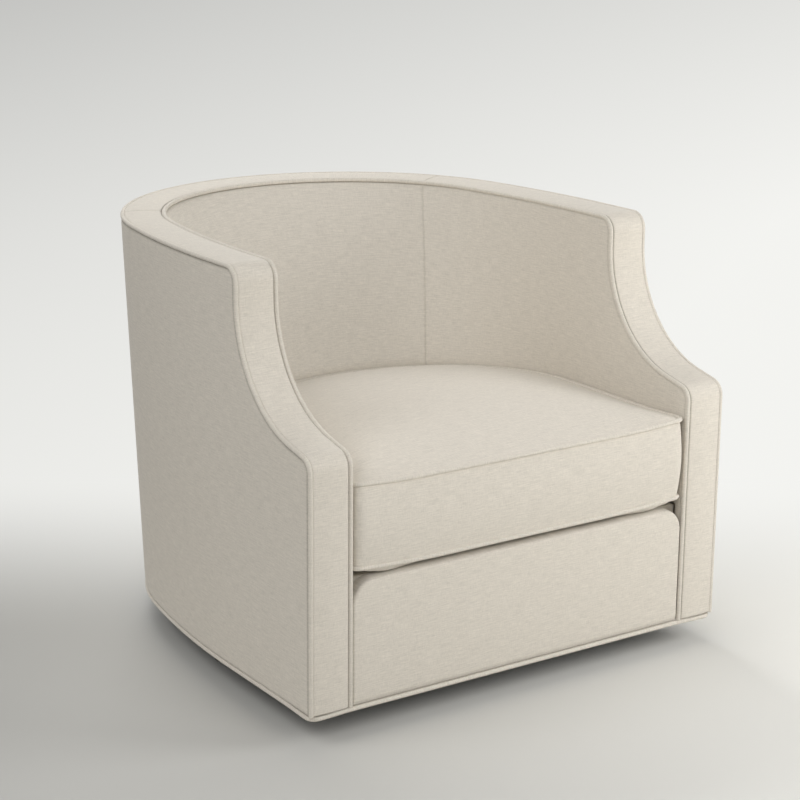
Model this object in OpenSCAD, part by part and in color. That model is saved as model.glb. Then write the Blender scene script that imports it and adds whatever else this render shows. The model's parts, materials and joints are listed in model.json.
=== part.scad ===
// Swivel barrel chair with scooped arms, a welted border and one loose seat cushion.
// Millimetres. X runs across the chair, Y from the front to the back, Z up from the floor.
// The origin is on the floor, on the swivel axis, midway between the front and back of the chair.

/* [Overall size] */
// Width over the arms
chair_w = 850; // [780:1:920]
// Depth from the arm fronts to the top of the back
chair_d = 974; // [900:1:1040]
// Height of the border at the middle of the back
back_h = 735; // [700:1:780]
// Height of the hem above the floor
hem_h = 45; // [44:1:60]

/* [Barrel plan] */
// Length of straight side behind the arm fronts, measured at the top
side_straight = 321; // [290:1:340]
// How much less than half the width the radius of the outside back is
back_tuck = 23; // [15:1:29]
// Angle that the back leans back
back_rake = 5; // [3:0.1:7]
// Angle that the top edge falls toward the back
top_fall = 0.9; // [0:0.1:2]
// Angle of the border seams round the back, from the side
seam_angle = 29; // [20:1:45]

/* [Arm line] */
// Height of the back above the arm front's corner
arm_drop = 254; // [240:1:270]
// Rise of the arm line
arm_rise = 11.5; // [6:0.5:16]
// Radius of the scoop between arm and back
scoop_r = 203; // [190:1:210]
// Distance of the crest behind the arm front
crest_back = 225; // [215:1:235]
// Radius of the crest corner
crest_r = 29; // [20:1:36]
// Radius of the arm's front corner
arm_corner_r = 27; // [18:1:34]

/* [Covers and welts] */
// Width of the border over the arm fronts and the top
band_w = 80; // [76:1:86]
// Thickness of a padded cover
cover_t = 4; // [3:0.5:5]
// Diameter of a welt
welt_d = 8; // [6:0.5:9]
// How far a welt stands out of the cover
welt_proud = 1; // [0.5:0.5:2]
// Gap between pieces that seat on each other
seat_gap = 0.3; // [0.2:0.1:0.4]
// Thickness of the padding inside the arms and at the rim
pad_t = 24; // [20:1:26]
// Thickness of the padding at the foot of the inside back
lumbar_t = 45; // [35:1:50]
// How far the inside back swells
lumbar_swell = 12; // [0:1:16]

/* [Seat] */
// Depth of the inside back at the seat, in front of the top of the outside back
back_depth = 355; // [340:1:370]
// How much more than half its width the radius of the seat's back edge is
seat_back_flare = 55; // [40:1:70]
// How much less deep than half its width the round part of the seat is
seat_flat = 46; // [40:1:60]
// Height of the deck above the floor
deck_h = 267; // [255:1:280]
// Thickness of the deck padding
deck_t = 30; // [20:1:36]

/* [Cushion] */
// Distance between the two cushion welts
boxing_h = 141; // [120:1:150]
// Height that the cushion swells below its lower welt
cushion_foot = 15; // [12:1:20]
// Height of the crown above the upper welt
cushion_crown = 30; // [20:1:40]
// Gap between the cushion and each arm
cushion_gap = 2.5; // [2.3:0.1:4]
// Radius of the front corners of the cushion
cushion_corner_r = 30; // [24:1:45]
// How far the front of the cushion swells forward
cushion_swell = 6; // [3:1:9]

/* [Front panel] */
// Thickness of the padded front panel
panel_t = 22; // [18:1:26]
// Radius of its two upper corners
panel_corner_r = 50; // [35:1:60]
// Radius of its soft top edge
panel_soft_r = 9; // [5:1:12]
// Gap beside it
panel_side_gap = 4; // [3:0.5:6]
// How far it stands behind the arm fronts
panel_recess = 2; // [1:0.5:4]

/* [Frame] */
// Thickness of the arm panels
ply_t = 12; // [9:1:14]
// Thickness of the bent board round the back
board_t = 5; // [4:0.5:7]
// Thickness of the rails
rail_t = 22; // [18:1:24]
// Height of the bottom rails
rail_h = 70; // [60:1:80]
// Height of the seat rails
seat_rail_h = 60; // [50:1:70]
// Width of the contour rail inside each arm
contour_w = 25; // [20:1:30]
// Depth of the top rail
top_rail_h = 22; // [18:1:30]
// Thickness of the back ribs
rib_t = 18; // [12:1:20]
// Distance between the back ribs
rib_pitch = 100; // [90:1:105]
// Width of the two boards over the swivel
cross_w = 100; // [90:1:105]

/* [Springs] */
// Wire diameter of the seat springs
spring_wire = 4; // [3:0.5:5]
// Number of seat springs
spring_count = 5; // [4:1:6]
// Distance between the springs
spring_pitch = 115; // [100:1:120]
// Width of a spring
spring_w = 50; // [40:1:56]
// Number of half turns in a spring
spring_turns = 20; // [18:2:22]

/* [Swivel base] */
// Turn of the base under the seat
base_turn = 13.7; // [0:0.1:45]
// Distance of the glides from the swivel pin
leg_reach = 368; // [340:1:375]
// Width of a leg
leg_w = 34; // [28:1:40]
// Steel thickness of a leg
leg_wall = 3; // [2:0.5:4]
// Depth of a leg at its tip
leg_tip_h = 17; // [14:1:20]
// Diameter of a glide
glide_d = 36; // [30:1:42]
// Height of a glide
glide_h = 12; // [9:1:12]
// Diameter of the swivel plates
plate_d = 190; // [170:1:200]
// Thickness of the swivel plates
plate_t = 3; // [2:0.5:3]
// Diameter of the bearing balls
ball_d = 6; // [5:0.5:6.5]
// Number of bearing balls
ball_count = 24; // [16:1:28]
// Radius of the ball ring
ball_ring_r = 70; // [60:1:74]
// Diameter of the swivel pin
pin_d = 16; // [12:1:18]

/* [Hidden] */
$fn = 180;
// How far a cut runs past the piece that it cuts.
over = 30;
half_w = chair_w / 2;
inner_half = half_w - band_w;
front_reach = cushion_swell;
length_all = chair_d + front_reach + welt_proud;
front_y = front_reach - length_all / 2;
back_y = front_y + chair_d;
back_r = half_w - back_tuck;
arm_h = back_h - arm_drop;
welt_r = welt_d / 2;
welt_in = welt_r - welt_proud;
notch = welt_d - welt_proud + seat_gap;
rise_h = back_h - hem_h;

// Raked frame: the barrel's walls run square to it.
plan_apex = back_y * cos(back_rake) - rise_h * sin(back_rake);
plan_start = (front_y + side_straight) * cos(back_rake) - rise_h * sin(back_rake);
plan_front = front_y - rise_h * tan(back_rake) - over;
plan_low = -band_w - over;
plan_high = rise_h + band_w + over;
back_c = plan_apex - back_r;

// Side profile of the arms and back.
crest_y = front_y + crest_back;
scoop_y = crest_y - scoop_r;
scoop_foot = (scoop_y + scoop_r * sin(arm_rise) - front_y) * tan(arm_rise);
scoop_z = arm_h + scoop_foot + scoop_r * cos(arm_rise);
arm_turn = [front_y + arm_corner_r, arm_h + arm_corner_r * (tan(arm_rise) - 1 / cos(arm_rise))];
crest_turn = [crest_y + crest_r, top_z(crest_y + crest_r) - crest_r / cos(top_fall)];
cover_low = hem_h + welt_d + seat_gap;
frame_low = cover_low + seat_gap * 2;

// Heights of the seat.
deck_low = deck_h - deck_t;
lower_welt_z = deck_h + cushion_foot;
upper_welt_z = lower_welt_z + boxing_h;
foot_drop = cushion_foot - seat_gap;
seat_apex = back_y - back_depth;
seat_start = seat_apex - inner_half + seat_flat;
seat_back_r = inner_half + seat_back_flare;
seat_c = seat_apex - seat_back_r;

// Depths from the outside face to each layer of an arm.
ply_in = cover_t + ply_t;
pad_in = band_w - pad_t;
inner_ply_in = pad_in - ply_t;
board_in = cover_t + board_t;
ply_end = front_y + side_straight - rise_h * tan(back_rake) - seat_gap;
panel_back = front_y + panel_recess + panel_t;

// Swivel, measured down from the frame.
rib_clear = 2;
front_rail_back = panel_back + rail_t;
spring_rail_top = deck_low - spring_wire - 2 * seat_gap;
block_leg = 60;
block_h = 50;
block_high = deck_low - seat_rail_h - block_h;
clip_w = 14;
clip_t = seat_gap;

// Padding and cushion
seat_seam_angle = 60;
seam_share = 0.6;
pad_rows = 5;
wing_steps = 18;
back_steps = 12;
radian = PI / 180;
cushion_steps = 80;
cushion_welt_steps = 72;
welt_sides = 8;
small_sides = 32;
corner_steps = 4;
scoop_steps = 8;
bow_steps = 5;
arch_steps = 18;
hem_corner_r = 10;
spring_sides = 6;
spring_steps = 3;
face_power = 3;
foot_flat_share = 0.9;
foot_shares = [foot_flat_share, 0.94, 0.975];
side_shares = [0.2, 0.5, 0.8];
crown_shares = [0.97, 0.9, 0.78, 0.6, 0.35];

// Swivel and base
hub_run = plate_d / 2;
stem_d = 8;
glide_edge = 3;
pin_head_d = 26;
pin_head_h = 4;
cage_t = 1.5;
cage_w = 16;
bolt_d = 6;
bolt_x = 68;
bolt_y = 52;
bolt_head_d = 11;
bolt_head_h = 2.5;
bolt_clear = 2;
swivel_clear = 15;
cross_gap = 10;
ball_gap = ball_d - plate_t / 2;
upper_plate_low = frame_low - plate_t;
lower_plate_top = upper_plate_low - ball_gap;
hub_top = lower_plate_top - plate_t;
ball_z = lower_plate_top + ball_gap / 2;
run_fit = 0.05;

function top_z(y) = back_h + (back_y - y) * tan(top_fall);
// Radius of the arc that joins a straight side to the back arc of an arch.
function bow_r(half, run, back) = (half * half + run * run - back * back) / (2 * (half - back));
// Depth at which a line of the raked barrel stands at a height.
function on_rake(plan_y, z) = plan_y / cos(back_rake) + (z - hem_h) * tan(back_rake);

linen = [0.83, 0.80, 0.74];
linen_light = [0.87, 0.84, 0.78];
timber = [0.80, 0.67, 0.48];
steel = [0.16, 0.16, 0.17];
zinc = [0.7, 0.7, 0.72];
rubber = [0.08, 0.08, 0.08];
nylon = [0.55, 0.50, 0.38];
black_cloth = [0.10, 0.10, 0.10];

// Plan of the barrel, inset from the outside face: straight sides, bowed corners and a round back.
module plan2d(inset) {
    run = back_c - plan_start;
    bow = bow_r(half_w, run, back_r);
    join = back_c + (back_r - inset) * run / (bow - back_r);
    translate([inset - half_w, plan_front])
        square([2 * (half_w - inset), plan_start - plan_front]);
    intersection() {
        translate([half_w - bow, plan_start]) circle(bow - inset);
        translate([bow - half_w, plan_start]) circle(bow - inset);
        translate([-chair_w, plan_start - over]) square([2 * chair_w, join - plan_start + over]);
    }
    translate([0, back_c]) circle(back_r - inset);
}

module raked() translate([0, 0, hem_h]) rotate([-back_rake, 0, 0]) children();

module plan_solid(inset)
    raked() translate([0, 0, plan_low]) linear_extrude(plan_high - plan_low) plan2d(inset);

// A wall of the barrel between two depths from its outside face.
module wall(outer, inner)
    raked() translate([0, 0, plan_low]) linear_extrude(plan_high - plan_low) difference() {
        plan2d(outer);
        plan2d(inner);
    }

// Side profile of the chair, inset from the arm line: front, arm, scoop, crest and top.
module profile2d(inset, low) {
    far = back_y + over;
    reach = scoop_r + inset;
    foot = [scoop_y + reach * sin(arm_rise), scoop_z - reach * cos(arm_rise)];
    front = front_y + inset;
    arm_tip = [front, foot.y - (foot.x - front) * tan(arm_rise)];
    arm_r = arm_corner_r - inset;
    crest = crest_y + inset;
    drop = inset / cos(top_fall);
    crest_tip = [crest, top_z(crest) - drop];
    turn_r = crest_r - inset;
    difference() {
        polygon(concat(
            [[front, low], [far, low], [far, scoop_z], [scoop_y, scoop_z], foot],
            arm_r > 0
                ? [arm_turn + arm_r * [-sin(arm_rise), cos(arm_rise)], [front, arm_turn.y]]
                : [arm_tip]));
        translate([scoop_y, scoop_z]) circle(reach);
    }
    polygon(concat(
        [[crest, scoop_z - over], [far, scoop_z - over], [far, top_z(far) - drop]],
        turn_r > 0
            ? [crest_turn + turn_r * [sin(top_fall), cos(top_fall)], [crest, crest_turn.y]]
            : [crest_tip]));
    if (arm_r > 0)
        translate(arm_turn) circle(arm_r);
    if (turn_r > 0)
        translate(crest_turn) circle(turn_r);
}

module profile_solid(inset, low = cover_low, width = chair_w)
    rotate([90, 0, 90]) linear_extrude(width + over, center = true) profile2d(inset, low);

// A layer that follows the arm line between two depths from it.
module contour(outer, inner, low = cover_low)
    rotate([90, 0, 90]) linear_extrude(chair_w + over, center = true) difference() {
        profile2d(outer, low);
        profile2d(inner, low - over);
    }

// The sector of the barrel between the two border seams.
module back_sector()
    raked() translate([0, back_c, plan_low]) linear_extrude(plan_high - plan_low)
        polygon([[0, 0], chair_w * [cos(seam_angle), sin(seam_angle)], chair_w * [cos(seam_angle), 1],
            chair_w * [-cos(seam_angle), 1], chair_w * [-cos(seam_angle), sin(seam_angle)]]);

// One half of space: side is 1 for the right half and -1 for the left.
module half_space(side)
    translate([side > 0 ? 0 : -chair_w, -chair_d, -over]) cube([chair_w, 2 * chair_d, 2 * back_h]);

module side_piece(side)
    difference() {
        intersection() {
            children();
            half_space(side);
        }
        back_sector();
    }

// Covers
module outside_cover()
    intersection() {
        wall(0, cover_t);
        profile_solid(notch);
    }

module outside_side(side) color(linen) side_piece(side) outside_cover();

module outside_back() color(linen) intersection() {
    outside_cover();
    back_sector();
}

module border()
    intersection() {
        wall(notch, band_w - notch);
        contour(0, cover_t);
    }

module band_side(side) color(linen) side_piece(side) border();

module band_back() color(linen) intersection() {
    border();
    back_sector();
}

// Frame of the arms
module arm_slab(side, outer, inner)
    translate([side > 0 ? half_w - inner : outer - half_w, -chair_d, 0])
        cube([inner - outer, chair_d + ply_end, 2 * back_h]);

module arm_window() {
    low = frame_low + rail_h;
    near = front_y + cover_t + contour_w;
    high = arm_h - cover_t - contour_w;
    translate([-chair_w, near + contour_w, low + contour_w])
        cube([2 * chair_w, ply_end - near - 2 * contour_w, high - low - contour_w]);
}

module welt_channel(inset)
    intersection() {
        wall(inset, inset + notch);
        contour(0, notch, frame_low - over);
    }

module arm_panel(side, outer, open) color(timber)
    difference() {
        intersection() {
            arm_slab(side, outer, outer + ply_t);
            profile_solid(cover_t, frame_low);
        }
        if (open)
            arm_window();
        welt_channel(0);
    }

module arm_contour(side) color(timber)
    intersection() {
        arm_slab(side, ply_in, inner_ply_in);
        contour(cover_t, cover_t + contour_w, frame_low);
    }

module bottom_rail(side) color(timber)
    intersection() {
        arm_slab(side, ply_in, inner_ply_in);
        translate([-half_w, front_y + cover_t + contour_w, frame_low]) cube([chair_w, chair_d, rail_h]);
    }

// Frame of the back
module behind_arms()
    translate([-chair_w, ply_end, frame_low]) cube([2 * chair_w, chair_d, 2 * back_h]);

module back_layer(outer, inner)
    intersection() {
        wall(outer, inner);
        behind_arms();
    }

module back_board() color(timber)
    intersection() {
        back_layer(cover_t, board_in);
        profile_solid(notch, frame_low);
    }

module bottom_rail_back() color(timber)
    intersection() {
        back_layer(board_in, inner_ply_in);
        translate([-half_w, ply_end, frame_low]) cube([chair_w, chair_d, rail_h]);
    }

module top_rail() color(timber)
    intersection() {
        back_layer(board_in, pad_in);
        contour(cover_t, cover_t + top_rail_h, frame_low);
    }

// Ribs stand on the bottom rail, lean in to the seat rail and carry the top rail.
module back_rib(x) {
    far = abs(x) + rib_t / 2;
    near = max(abs(x) - rib_t / 2, 0);
    board_y = back_c + sqrt(pow(back_r - board_in, 2) - far * far) - seat_gap;
    foot_z = frame_low + rail_h;
    top_out = on_rake(board_y, back_h - top_rail_h);
    pad_y = seat_c + sqrt(pow(seat_back_r + lumbar_t, 2) - near * near) + rib_clear;
    rim_y = on_rake(back_c, back_h) + sqrt(pow(back_r - pad_in, 2) - near * near) + rib_clear;
    rail_under = (cover_t + top_rail_h) / cos(top_fall);
    rail_y = seat_c + sqrt(pow(seat_back_r + rail_t, 2) - near * near) + rib_clear;
    translate([x, 0, 0]) rotate([90, 0, 90]) linear_extrude(rib_t, center = true)
        polygon([
            [on_rake(board_y, foot_z), foot_z],
            [top_out, top_z(top_out) - rail_under],
            [rim_y, top_z(rim_y) - rail_under],
            [pad_y, upper_welt_z],
            [pad_y, deck_low - seat_gap],
            [rail_y, spring_rail_top],
            [rail_y, spring_rail_top - seat_rail_h],
            [on_rake(board_y, foot_z) - inner_ply_in + board_in, foot_z]
        ]);
}

module back_ribs() color(timber)
    for (place = [-2:2]) back_rib(place * rib_pitch);

// Plan of the seat inside the arms, inset from them.
module seat2d(inset, front) {
    bow = bow_r(inner_half, seat_c - seat_start, seat_back_r);
    turn = [inner_half - bow, seat_start - seat_c];
    reach = chair_w / norm(turn);
    foot = (seat_back_r - inset) / norm(turn);
    side = inner_half - inset;
    translate([-side, front]) square([2 * side, seat_start - front]);
    intersection() {
        for (way = [-1, 1])
            translate([way * turn.x, seat_start]) circle(bow - inset);
        beyond2d(front);
    }
    polygon([[-side, seat_start], [side, seat_start], [turn.x * foot, seat_c + turn.y * foot],
        [-turn.x * foot, seat_c + turn.y * foot]]);
    translate([0, seat_c]) intersection() {
        circle(seat_back_r - inset);
        polygon([[0, 0], turn * reach, [-turn.x, turn.y] * reach]);
    }
}

module beyond2d(y) translate([-chair_w, y]) square([2 * chair_w, chair_d]);

module seat_rail_back() color(timber)
    translate([0, 0, spring_rail_top - seat_rail_h]) linear_extrude(seat_rail_h) intersection() {
        difference() {
            seat2d(-rail_t, front_y);
            seat2d(0, front_y);
        }
        beyond2d(seat_start);
    }

module seat_rail_side(side) color(timber)
    translate([0, front_rail_back, deck_low - seat_rail_h])
        translate([side > 0 ? half_w - pad_in - rail_t : pad_in - half_w, 0, 0])
            cube([rail_t, seat_start - front_rail_back, seat_rail_h]);

module seat_rail_front() color(timber)
    translate([inner_ply_in + ply_t - half_w, panel_back, frame_low])
        cube([chair_w - 2 * pad_in, rail_t, spring_rail_top - frame_low]);

module corner_block(side, low)
    translate([side * (half_w - pad_in), front_rail_back, low])
        linear_extrude(block_h) polygon([[0, 0], [-side * block_leg, 0], [0, block_leg]]);

module corner_blocks() color(timber)
    for (side = [-1, 1], low = [frame_low, block_high]) corner_block(side, low);

module deck_pad() color(linen)
    translate([0, 0, deck_low]) linear_extrude(deck_t) seat2d(seat_gap, panel_back);

// One wavy spring, laid from the front rail to the back rail.
module wavy_spring(x) {
    first = panel_back + rail_t / 2;
    last = seat_c + sqrt(pow(seat_back_r + rail_t / 2, 2) - x * x);
    turn = (last - first) / spring_turns;
    bend = (spring_w - turn) / 2;
    translate([x, first, spring_rail_top + spring_wire / 2])
        tube(concat(
            [[bend, 0, 0]],
            [for (place = [0:spring_turns - 1])
                let (way = place % 2 * 2 - 1)
                for (a = [-90:180 / spring_steps:90])
                    [way * (bend + turn / 2 * cos(a)), (place + 0.5) * turn + turn / 2 * sin(a), 0]],
            [[-bend, spring_turns * turn, 0]]),
            spring_wire / 2, spring_sides, [0, 0, 1]);
}

module seat_springs() color(steel)
    for (place = [0:spring_count - 1]) wavy_spring((place - (spring_count - 1) / 2) * spring_pitch);

module spring_clip(x, y)
    translate([x, y, spring_rail_top]) difference() {
        translate([-clip_w / 2, -clip_w / 2, 0]) cube([clip_w, clip_w, spring_wire + clip_t]);
        translate([-clip_w, 0, spring_wire / 2]) rotate([0, 90, 0])
            cylinder(h = 2 * clip_w, d = spring_wire + 2 * run_fit, $fn = small_sides);
    }

module spring_clips() color(steel)
    for (place = [0:spring_count - 1]) {
        x = (place - (spring_count - 1) / 2) * spring_pitch;
        spring_clip(x, panel_back + rail_t / 2);
        spring_clip(x, seat_c + sqrt(pow(seat_back_r + rail_t / 2, 2) - x * x));
    }

module dust_cover() color(black_cloth)
    difference() {
        intersection() {
            plan_solid(board_in);
            translate([-chair_w, panel_back, cover_low])
                cube([2 * chair_w, chair_d, frame_low - cover_low]);
        }
        cylinder(h = back_h, r = plate_d / 2 + swivel_clear);
    }

// Front panel: its upper corners are round and its top edge is soft.
module panel_front2d() {
    side = inner_half - panel_side_gap;
    translate([-side, cover_low]) square([2 * side, deck_h - panel_corner_r - cover_low]);
    translate([panel_corner_r - side, cover_low])
        square([2 * (side - panel_corner_r), deck_h - cover_low]);
    for (way = [-1, 1])
        translate([way * (side - panel_corner_r), deck_h - panel_corner_r]) circle(panel_corner_r);
}

module panel_side2d() {
    face = panel_back - panel_t;
    low = cover_low - over;
    translate([face, low]) square([panel_t + over, deck_h - panel_soft_r - low]);
    translate([face + panel_soft_r, low]) square([panel_t - panel_soft_r + over, deck_h - low]);
    translate([face + panel_soft_r, deck_h - panel_soft_r]) circle(panel_soft_r);
}

module front_panel() color(linen) intersection() {
    translate([0, panel_back, 0]) rotate([90, 0, 0]) linear_extrude(panel_t + over) panel_front2d();
    rotate([90, 0, 90]) linear_extrude(chair_w, center = true) panel_side2d();
}

// A solid with one ring of points at each station, closed on itself or with flat ends.
module swept(rings, closed = false) {
    n = len(rings[0]);
    count = len(rings);
    last = closed ? count - 1 : count - 2;
    ends = closed ? [] : [for (k = [0:n / 2 - 2])
        for (tri = [[k, k + 1, n - 1 - k], [k + 1, n - 2 - k, n - 1 - k]]) tri];
    polyhedron(
        points = [for (ring = rings, p = ring) p],
        faces = concat(
            ends,
            [for (tri = ends) [tri[2], tri[1], tri[0]] + (count - 1) * n * [1, 1, 1]],
            [for (i = [0:last], k = [0:n - 1])
                [i * n + k, (i + 1) % count * n + k, (i + 1) % count * n + (k + 1) % n]],
            [for (i = [0:last], k = [0:n - 1])
                [i * n + k, (i + 1) % count * n + (k + 1) % n, i * n + (k + 1) % n]]));
}

function unit(v) = v / norm(v);
function across(v, along) = unit(v - (v * along) * along);

// A round tube along points. First_up is a direction across its start.
module tube(points, r, sides, first_up, closed = false) {
    n = len(points);
    ways = [for (i = [0:n - 1])
        closed
            ? unit(points[(i + 1) % n] - points[(i + n - 1) % n])
            : unit(points[min(i + 1, n - 1)] - points[max(i - 1, 0)])];
    ups = [for (i = 0, up = across(first_up, ways[0]); i < n;
        i = i + 1, up = i < n ? across(up, ways[i]) : up) up];
    swept([for (i = [0:n - 1])
        let (right = cross(ways[i], ups[i]))
        [for (k = [0:sides - 1])
            let (a = -(k + 0.5) * 360 / sides)
            points[i] + r * (ups[i] * cos(a) + right * sin(a))]], closed);
}

function arc_points(centre, r, from, to, steps) =
    [for (i = [0:steps]) let (a = from + (to - from) * i / steps) centre + r * [cos(a), sin(a)]];

// Half of an arch at an inset, from its right start to its apex.
function half_arch(half, inset, start, apex) =
    let (centre = apex - back_r, bow = bow_r(half, centre - start, back_r),
        join = atan2(centre - start, bow - half))
    concat(arc_points([half - bow, start], bow - inset, 0, join, bow_steps),
        [for (i = [1:arch_steps]) let (a = join + (90 - join) * i / arch_steps)
            [0, centre] + (back_r - inset) * [cos(a), sin(a)]]);

// The same points, and their mirror image back from the apex.
function both_sides(half_path) = let (last = len(half_path) - 1)
    concat(half_path, [for (i = [last - 1:-1:0])
        len(half_path[i]) == 2 ? [-half_path[i].x, half_path[i].y]
            : [-half_path[i].x, half_path[i].y, half_path[i].z]]);

// Where a line of the raked barrel meets the plane of the top welts, along that plane.
function top_slant(plan_y) =
    let (level = rise_h - welt_in / cos(top_fall),
        lift = (level + (back_y - plan_y * cos(back_rake)) * tan(top_fall) + plan_y * sin(back_rake))
            / (cos(back_rake) + sin(back_rake) * tan(top_fall)))
    (plan_y * cos(back_rake) + lift * sin(back_rake) - back_y) / cos(top_fall);

// A welt follows the arm line in the side plane and then goes round the back.
module top_welt(inset) color(linen) {
    near = front_y + welt_in;
    side = [[near, cover_low],
        each arc_points(arm_turn, arm_corner_r - welt_in, 180, 90 + arm_rise, corner_steps),
        each arc_points([scoop_y, scoop_z], scoop_r + welt_in, arm_rise - 90, 0, scoop_steps),
        each arc_points(crest_turn, crest_r - welt_in, 180, 90 - top_fall, corner_steps)];
    top = half_arch(half_w, inset, top_slant(plan_start), top_slant(plan_apex));
    tube(both_sides(concat(
        [for (p = side) [half_w - inset, p.x, p.y]],
        [for (p = top) [p.x, back_y + p.y * cos(top_fall),
            back_h - welt_in / cos(top_fall) - p.y * sin(top_fall)]])),
        welt_r, welt_sides, [0, -1, 0]);
}

module outer_welt() top_welt(welt_in);

module inner_welt() top_welt(band_w - welt_in);

module hem_welt() color(linen) {
    z = hem_h + welt_r;
    turn = hem_corner_r - welt_in;
    corner = [half_w - hem_corner_r, front_y + hem_corner_r];
    back = half_arch(half_w, welt_in, on_rake(plan_start, z), on_rake(plan_apex, z));
    right = concat(arc_points(corner, turn, -90, 0, corner_steps), back);
    ring = both_sides(right);
    tube([for (p = ring) [p.x, p.y, z]], welt_r, welt_sides, [0, 0, 1], true);
}

// Point at a share q of an arch, from its right start (0) to its apex (1), and the outward direction.
function arch_angles(half, start, apex, back) =
    let (centre = apex - back, bow = bow_r(half, centre - start, back), way = back > bow ? 1 : -1)
    [atan2(way * (start - centre), way * (half - bow)), bow, centre];
function arch_turn(arch, back, inset, q) =
    let (bow_len = (arch[1] - inset) * arch[0], back_len = (back - inset) * (90 - arch[0]),
        run = q * (bow_len + back_len))
    run < bow_len ? run / (arch[1] - inset) : arch[0] + (run - bow_len) / (back - inset);
function arch_point(arch, half, start, back, inset, turn) =
    turn < arch[0]
        ? [half - arch[1] + (arch[1] - inset) * cos(turn), start + (arch[1] - inset) * sin(turn)]
        : [(back - inset) * cos(turn), arch[2] + (back - inset) * sin(turn)];
function arch_share(arch, back, inset, turn) =
    let (bow_len = (arch[1] - inset) * arch[0])
    (bow_len + (turn - arch[0]) * (back - inset)) / (bow_len + (90 - arch[0]) * (back - inset));

rim_z = top_z(back_y - band_w) - notch / cos(top_fall);
rim_apex = on_rake(plan_apex, rim_z);
rim_start = on_rake(plan_start, rim_z);
rim_arch = arch_angles(half_w, rim_start, rim_apex, back_r);
seat_arch = arch_angles(inner_half, seat_start, seat_apex, seat_back_r);
rim_seam = arch_share(rim_arch, back_r, band_w, seam_angle);
seat_seam = arch_share(seat_arch, seat_back_r, 0, seat_seam_angle);

// Rows of the padding at one station: up the inside face, then down the hidden face.
function pad_ring(f) =
    let (
        mirror_x = f > 1 ? -1 : 1,
        g = f > 1 ? 2 - f : f,
        rim_turn = arch_turn(rim_arch, back_r, band_w, g < seam_share ? g / seam_share * rim_seam
            : rim_seam + (g - seam_share) / (1 - seam_share) * (1 - rim_seam)),
        seat_turn = arch_turn(seat_arch, seat_back_r, 0, g < seam_share ? g / seam_share * seat_seam
            : seat_seam + (g - seam_share) / (1 - seam_share) * (1 - seat_seam)),
        rim = arch_point(rim_arch, half_w, rim_start, back_r, band_w, rim_turn),
        rim_out = arch_point(rim_arch, half_w, rim_start, back_r, pad_in + seat_gap, rim_turn),
        seat = arch_point(seat_arch, inner_half, seat_start, seat_back_r, 0, seat_turn),
        depth = pad_t + (lumbar_t - pad_t) * (1 - cos(min(1, g / seam_share) * 180)) / 2,
        seat_out = arch_point(seat_arch, inner_half, seat_start, seat_back_r, -depth, seat_turn),
        inward = -[cos(seat_turn), sin(seat_turn)],
        swell = lumbar_swell * sin(min(1, g / seam_share) * 90)
    )
    [for (p = concat(
        [[seat.x, seat.y, deck_low]],
        [for (row = [0:pad_rows])
            let (t = row / pad_rows, at = seat * (1 - t) + rim * t + inward * swell * sin(180 * t))
            [at.x, at.y, upper_welt_z * (1 - t) + rim_height(rim.y) * t]],
        [for (row = [pad_rows:-1:0])
            let (t = row / pad_rows, at = seat_out * (1 - t) + rim_out * t)
            [at.x, at.y, upper_welt_z * (1 - t) + rim_height(rim_out.y) * t]],
        [[seat_out.x, seat_out.y, deck_low]]))
        [mirror_x * p.x, p.y, p.z]];
function rim_height(y) = top_z(y) - notch / cos(top_fall);

// The wing starts upright against the end of the arm padding, set in a little at its top and back.
pad_start = min(seat_start, rim_start) - pad_t;
function pad_start_ring() =
    let (hidden = inner_half + pad_t - seat_gap, high = rim_height(pad_start) - seat_gap,
        levels = [deck_low, for (row = [0:pad_rows]) upper_welt_z + (high - upper_welt_z) * row / pad_rows])
    [for (z = levels) [inner_half, pad_start, z],
        for (i = [len(levels) - 1:-1:0]) [hidden, pad_start, levels[i]]];

module pad_wing()
    swept([pad_start_ring(), for (i = [0:wing_steps]) pad_ring(i / wing_steps * seam_share)]);

// Arm padding: over the deck, and down to the hem along the front edge.
module arm_pad()
    translate([inner_half, 0, 0]) rotate([90, 0, 90]) linear_extrude(pad_t) intersection() {
        profile2d(notch, cover_low);
        union() {
            translate([front_y, 0]) square([panel_t + panel_recess, deck_low]);
            translate([front_y, deck_low]) square([pad_start - front_y, 2 * back_h]);
        }
    }

module inside_side(side) color(linen_light) mirror([side > 0 ? 0 : 1, 0, 0]) {
    arm_pad();
    pad_wing();
}

module inside_back() color(linen_light)
    swept([for (i = [0:2 * back_steps]) pad_ring(seam_share + i / back_steps * (1 - seam_share))]);

// Seat cushion
cushion_half = inner_half - cushion_gap;
cushion_front = front_y;

// Right half of the cushion's outline, from the middle of the front (0) to the apex (1):
// the place and the outward angle.
function cushion_side(f) =
    let (
        corner = cushion_corner_r,
        run_front = cushion_half - corner,
        run_corner = corner * 90 * radian,
        run_side = seat_start - cushion_front - corner,
        arch = seat_arch,
        run_bow = (arch[1] - cushion_gap) * arch[0] * radian,
        run_back = (seat_back_r - cushion_gap) * (90 - arch[0]) * radian,
        d = f * (run_front + run_corner + run_side + run_bow + run_back),
        a = d - run_front,
        b = a - run_corner,
        c = b - run_side
    )
    a < 0 ? [[d, cushion_front], -90]
    : b < 0 ? let (turn = a / corner / radian - 90)
        [[run_front, cushion_front + corner] + corner * [cos(turn), sin(turn)], turn]
    : c < 0 ? [[cushion_half, cushion_front + corner + b], 0]
    : let (turn = arch_turn(arch, seat_back_r, cushion_gap, c / (run_bow + run_back)))
        [arch_point(arch, inner_half, seat_start, seat_back_r, cushion_gap, turn), turn];

function cushion_edge(f) =
    let (g = f > 1 ? 2 - f : f, e = cushion_side(g))
    f > 1 ? [[-e[0].x, e[0].y], 180 - e[1]] : e;

cushion_heart = [0, (cushion_front + seat_apex) / 2];

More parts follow.
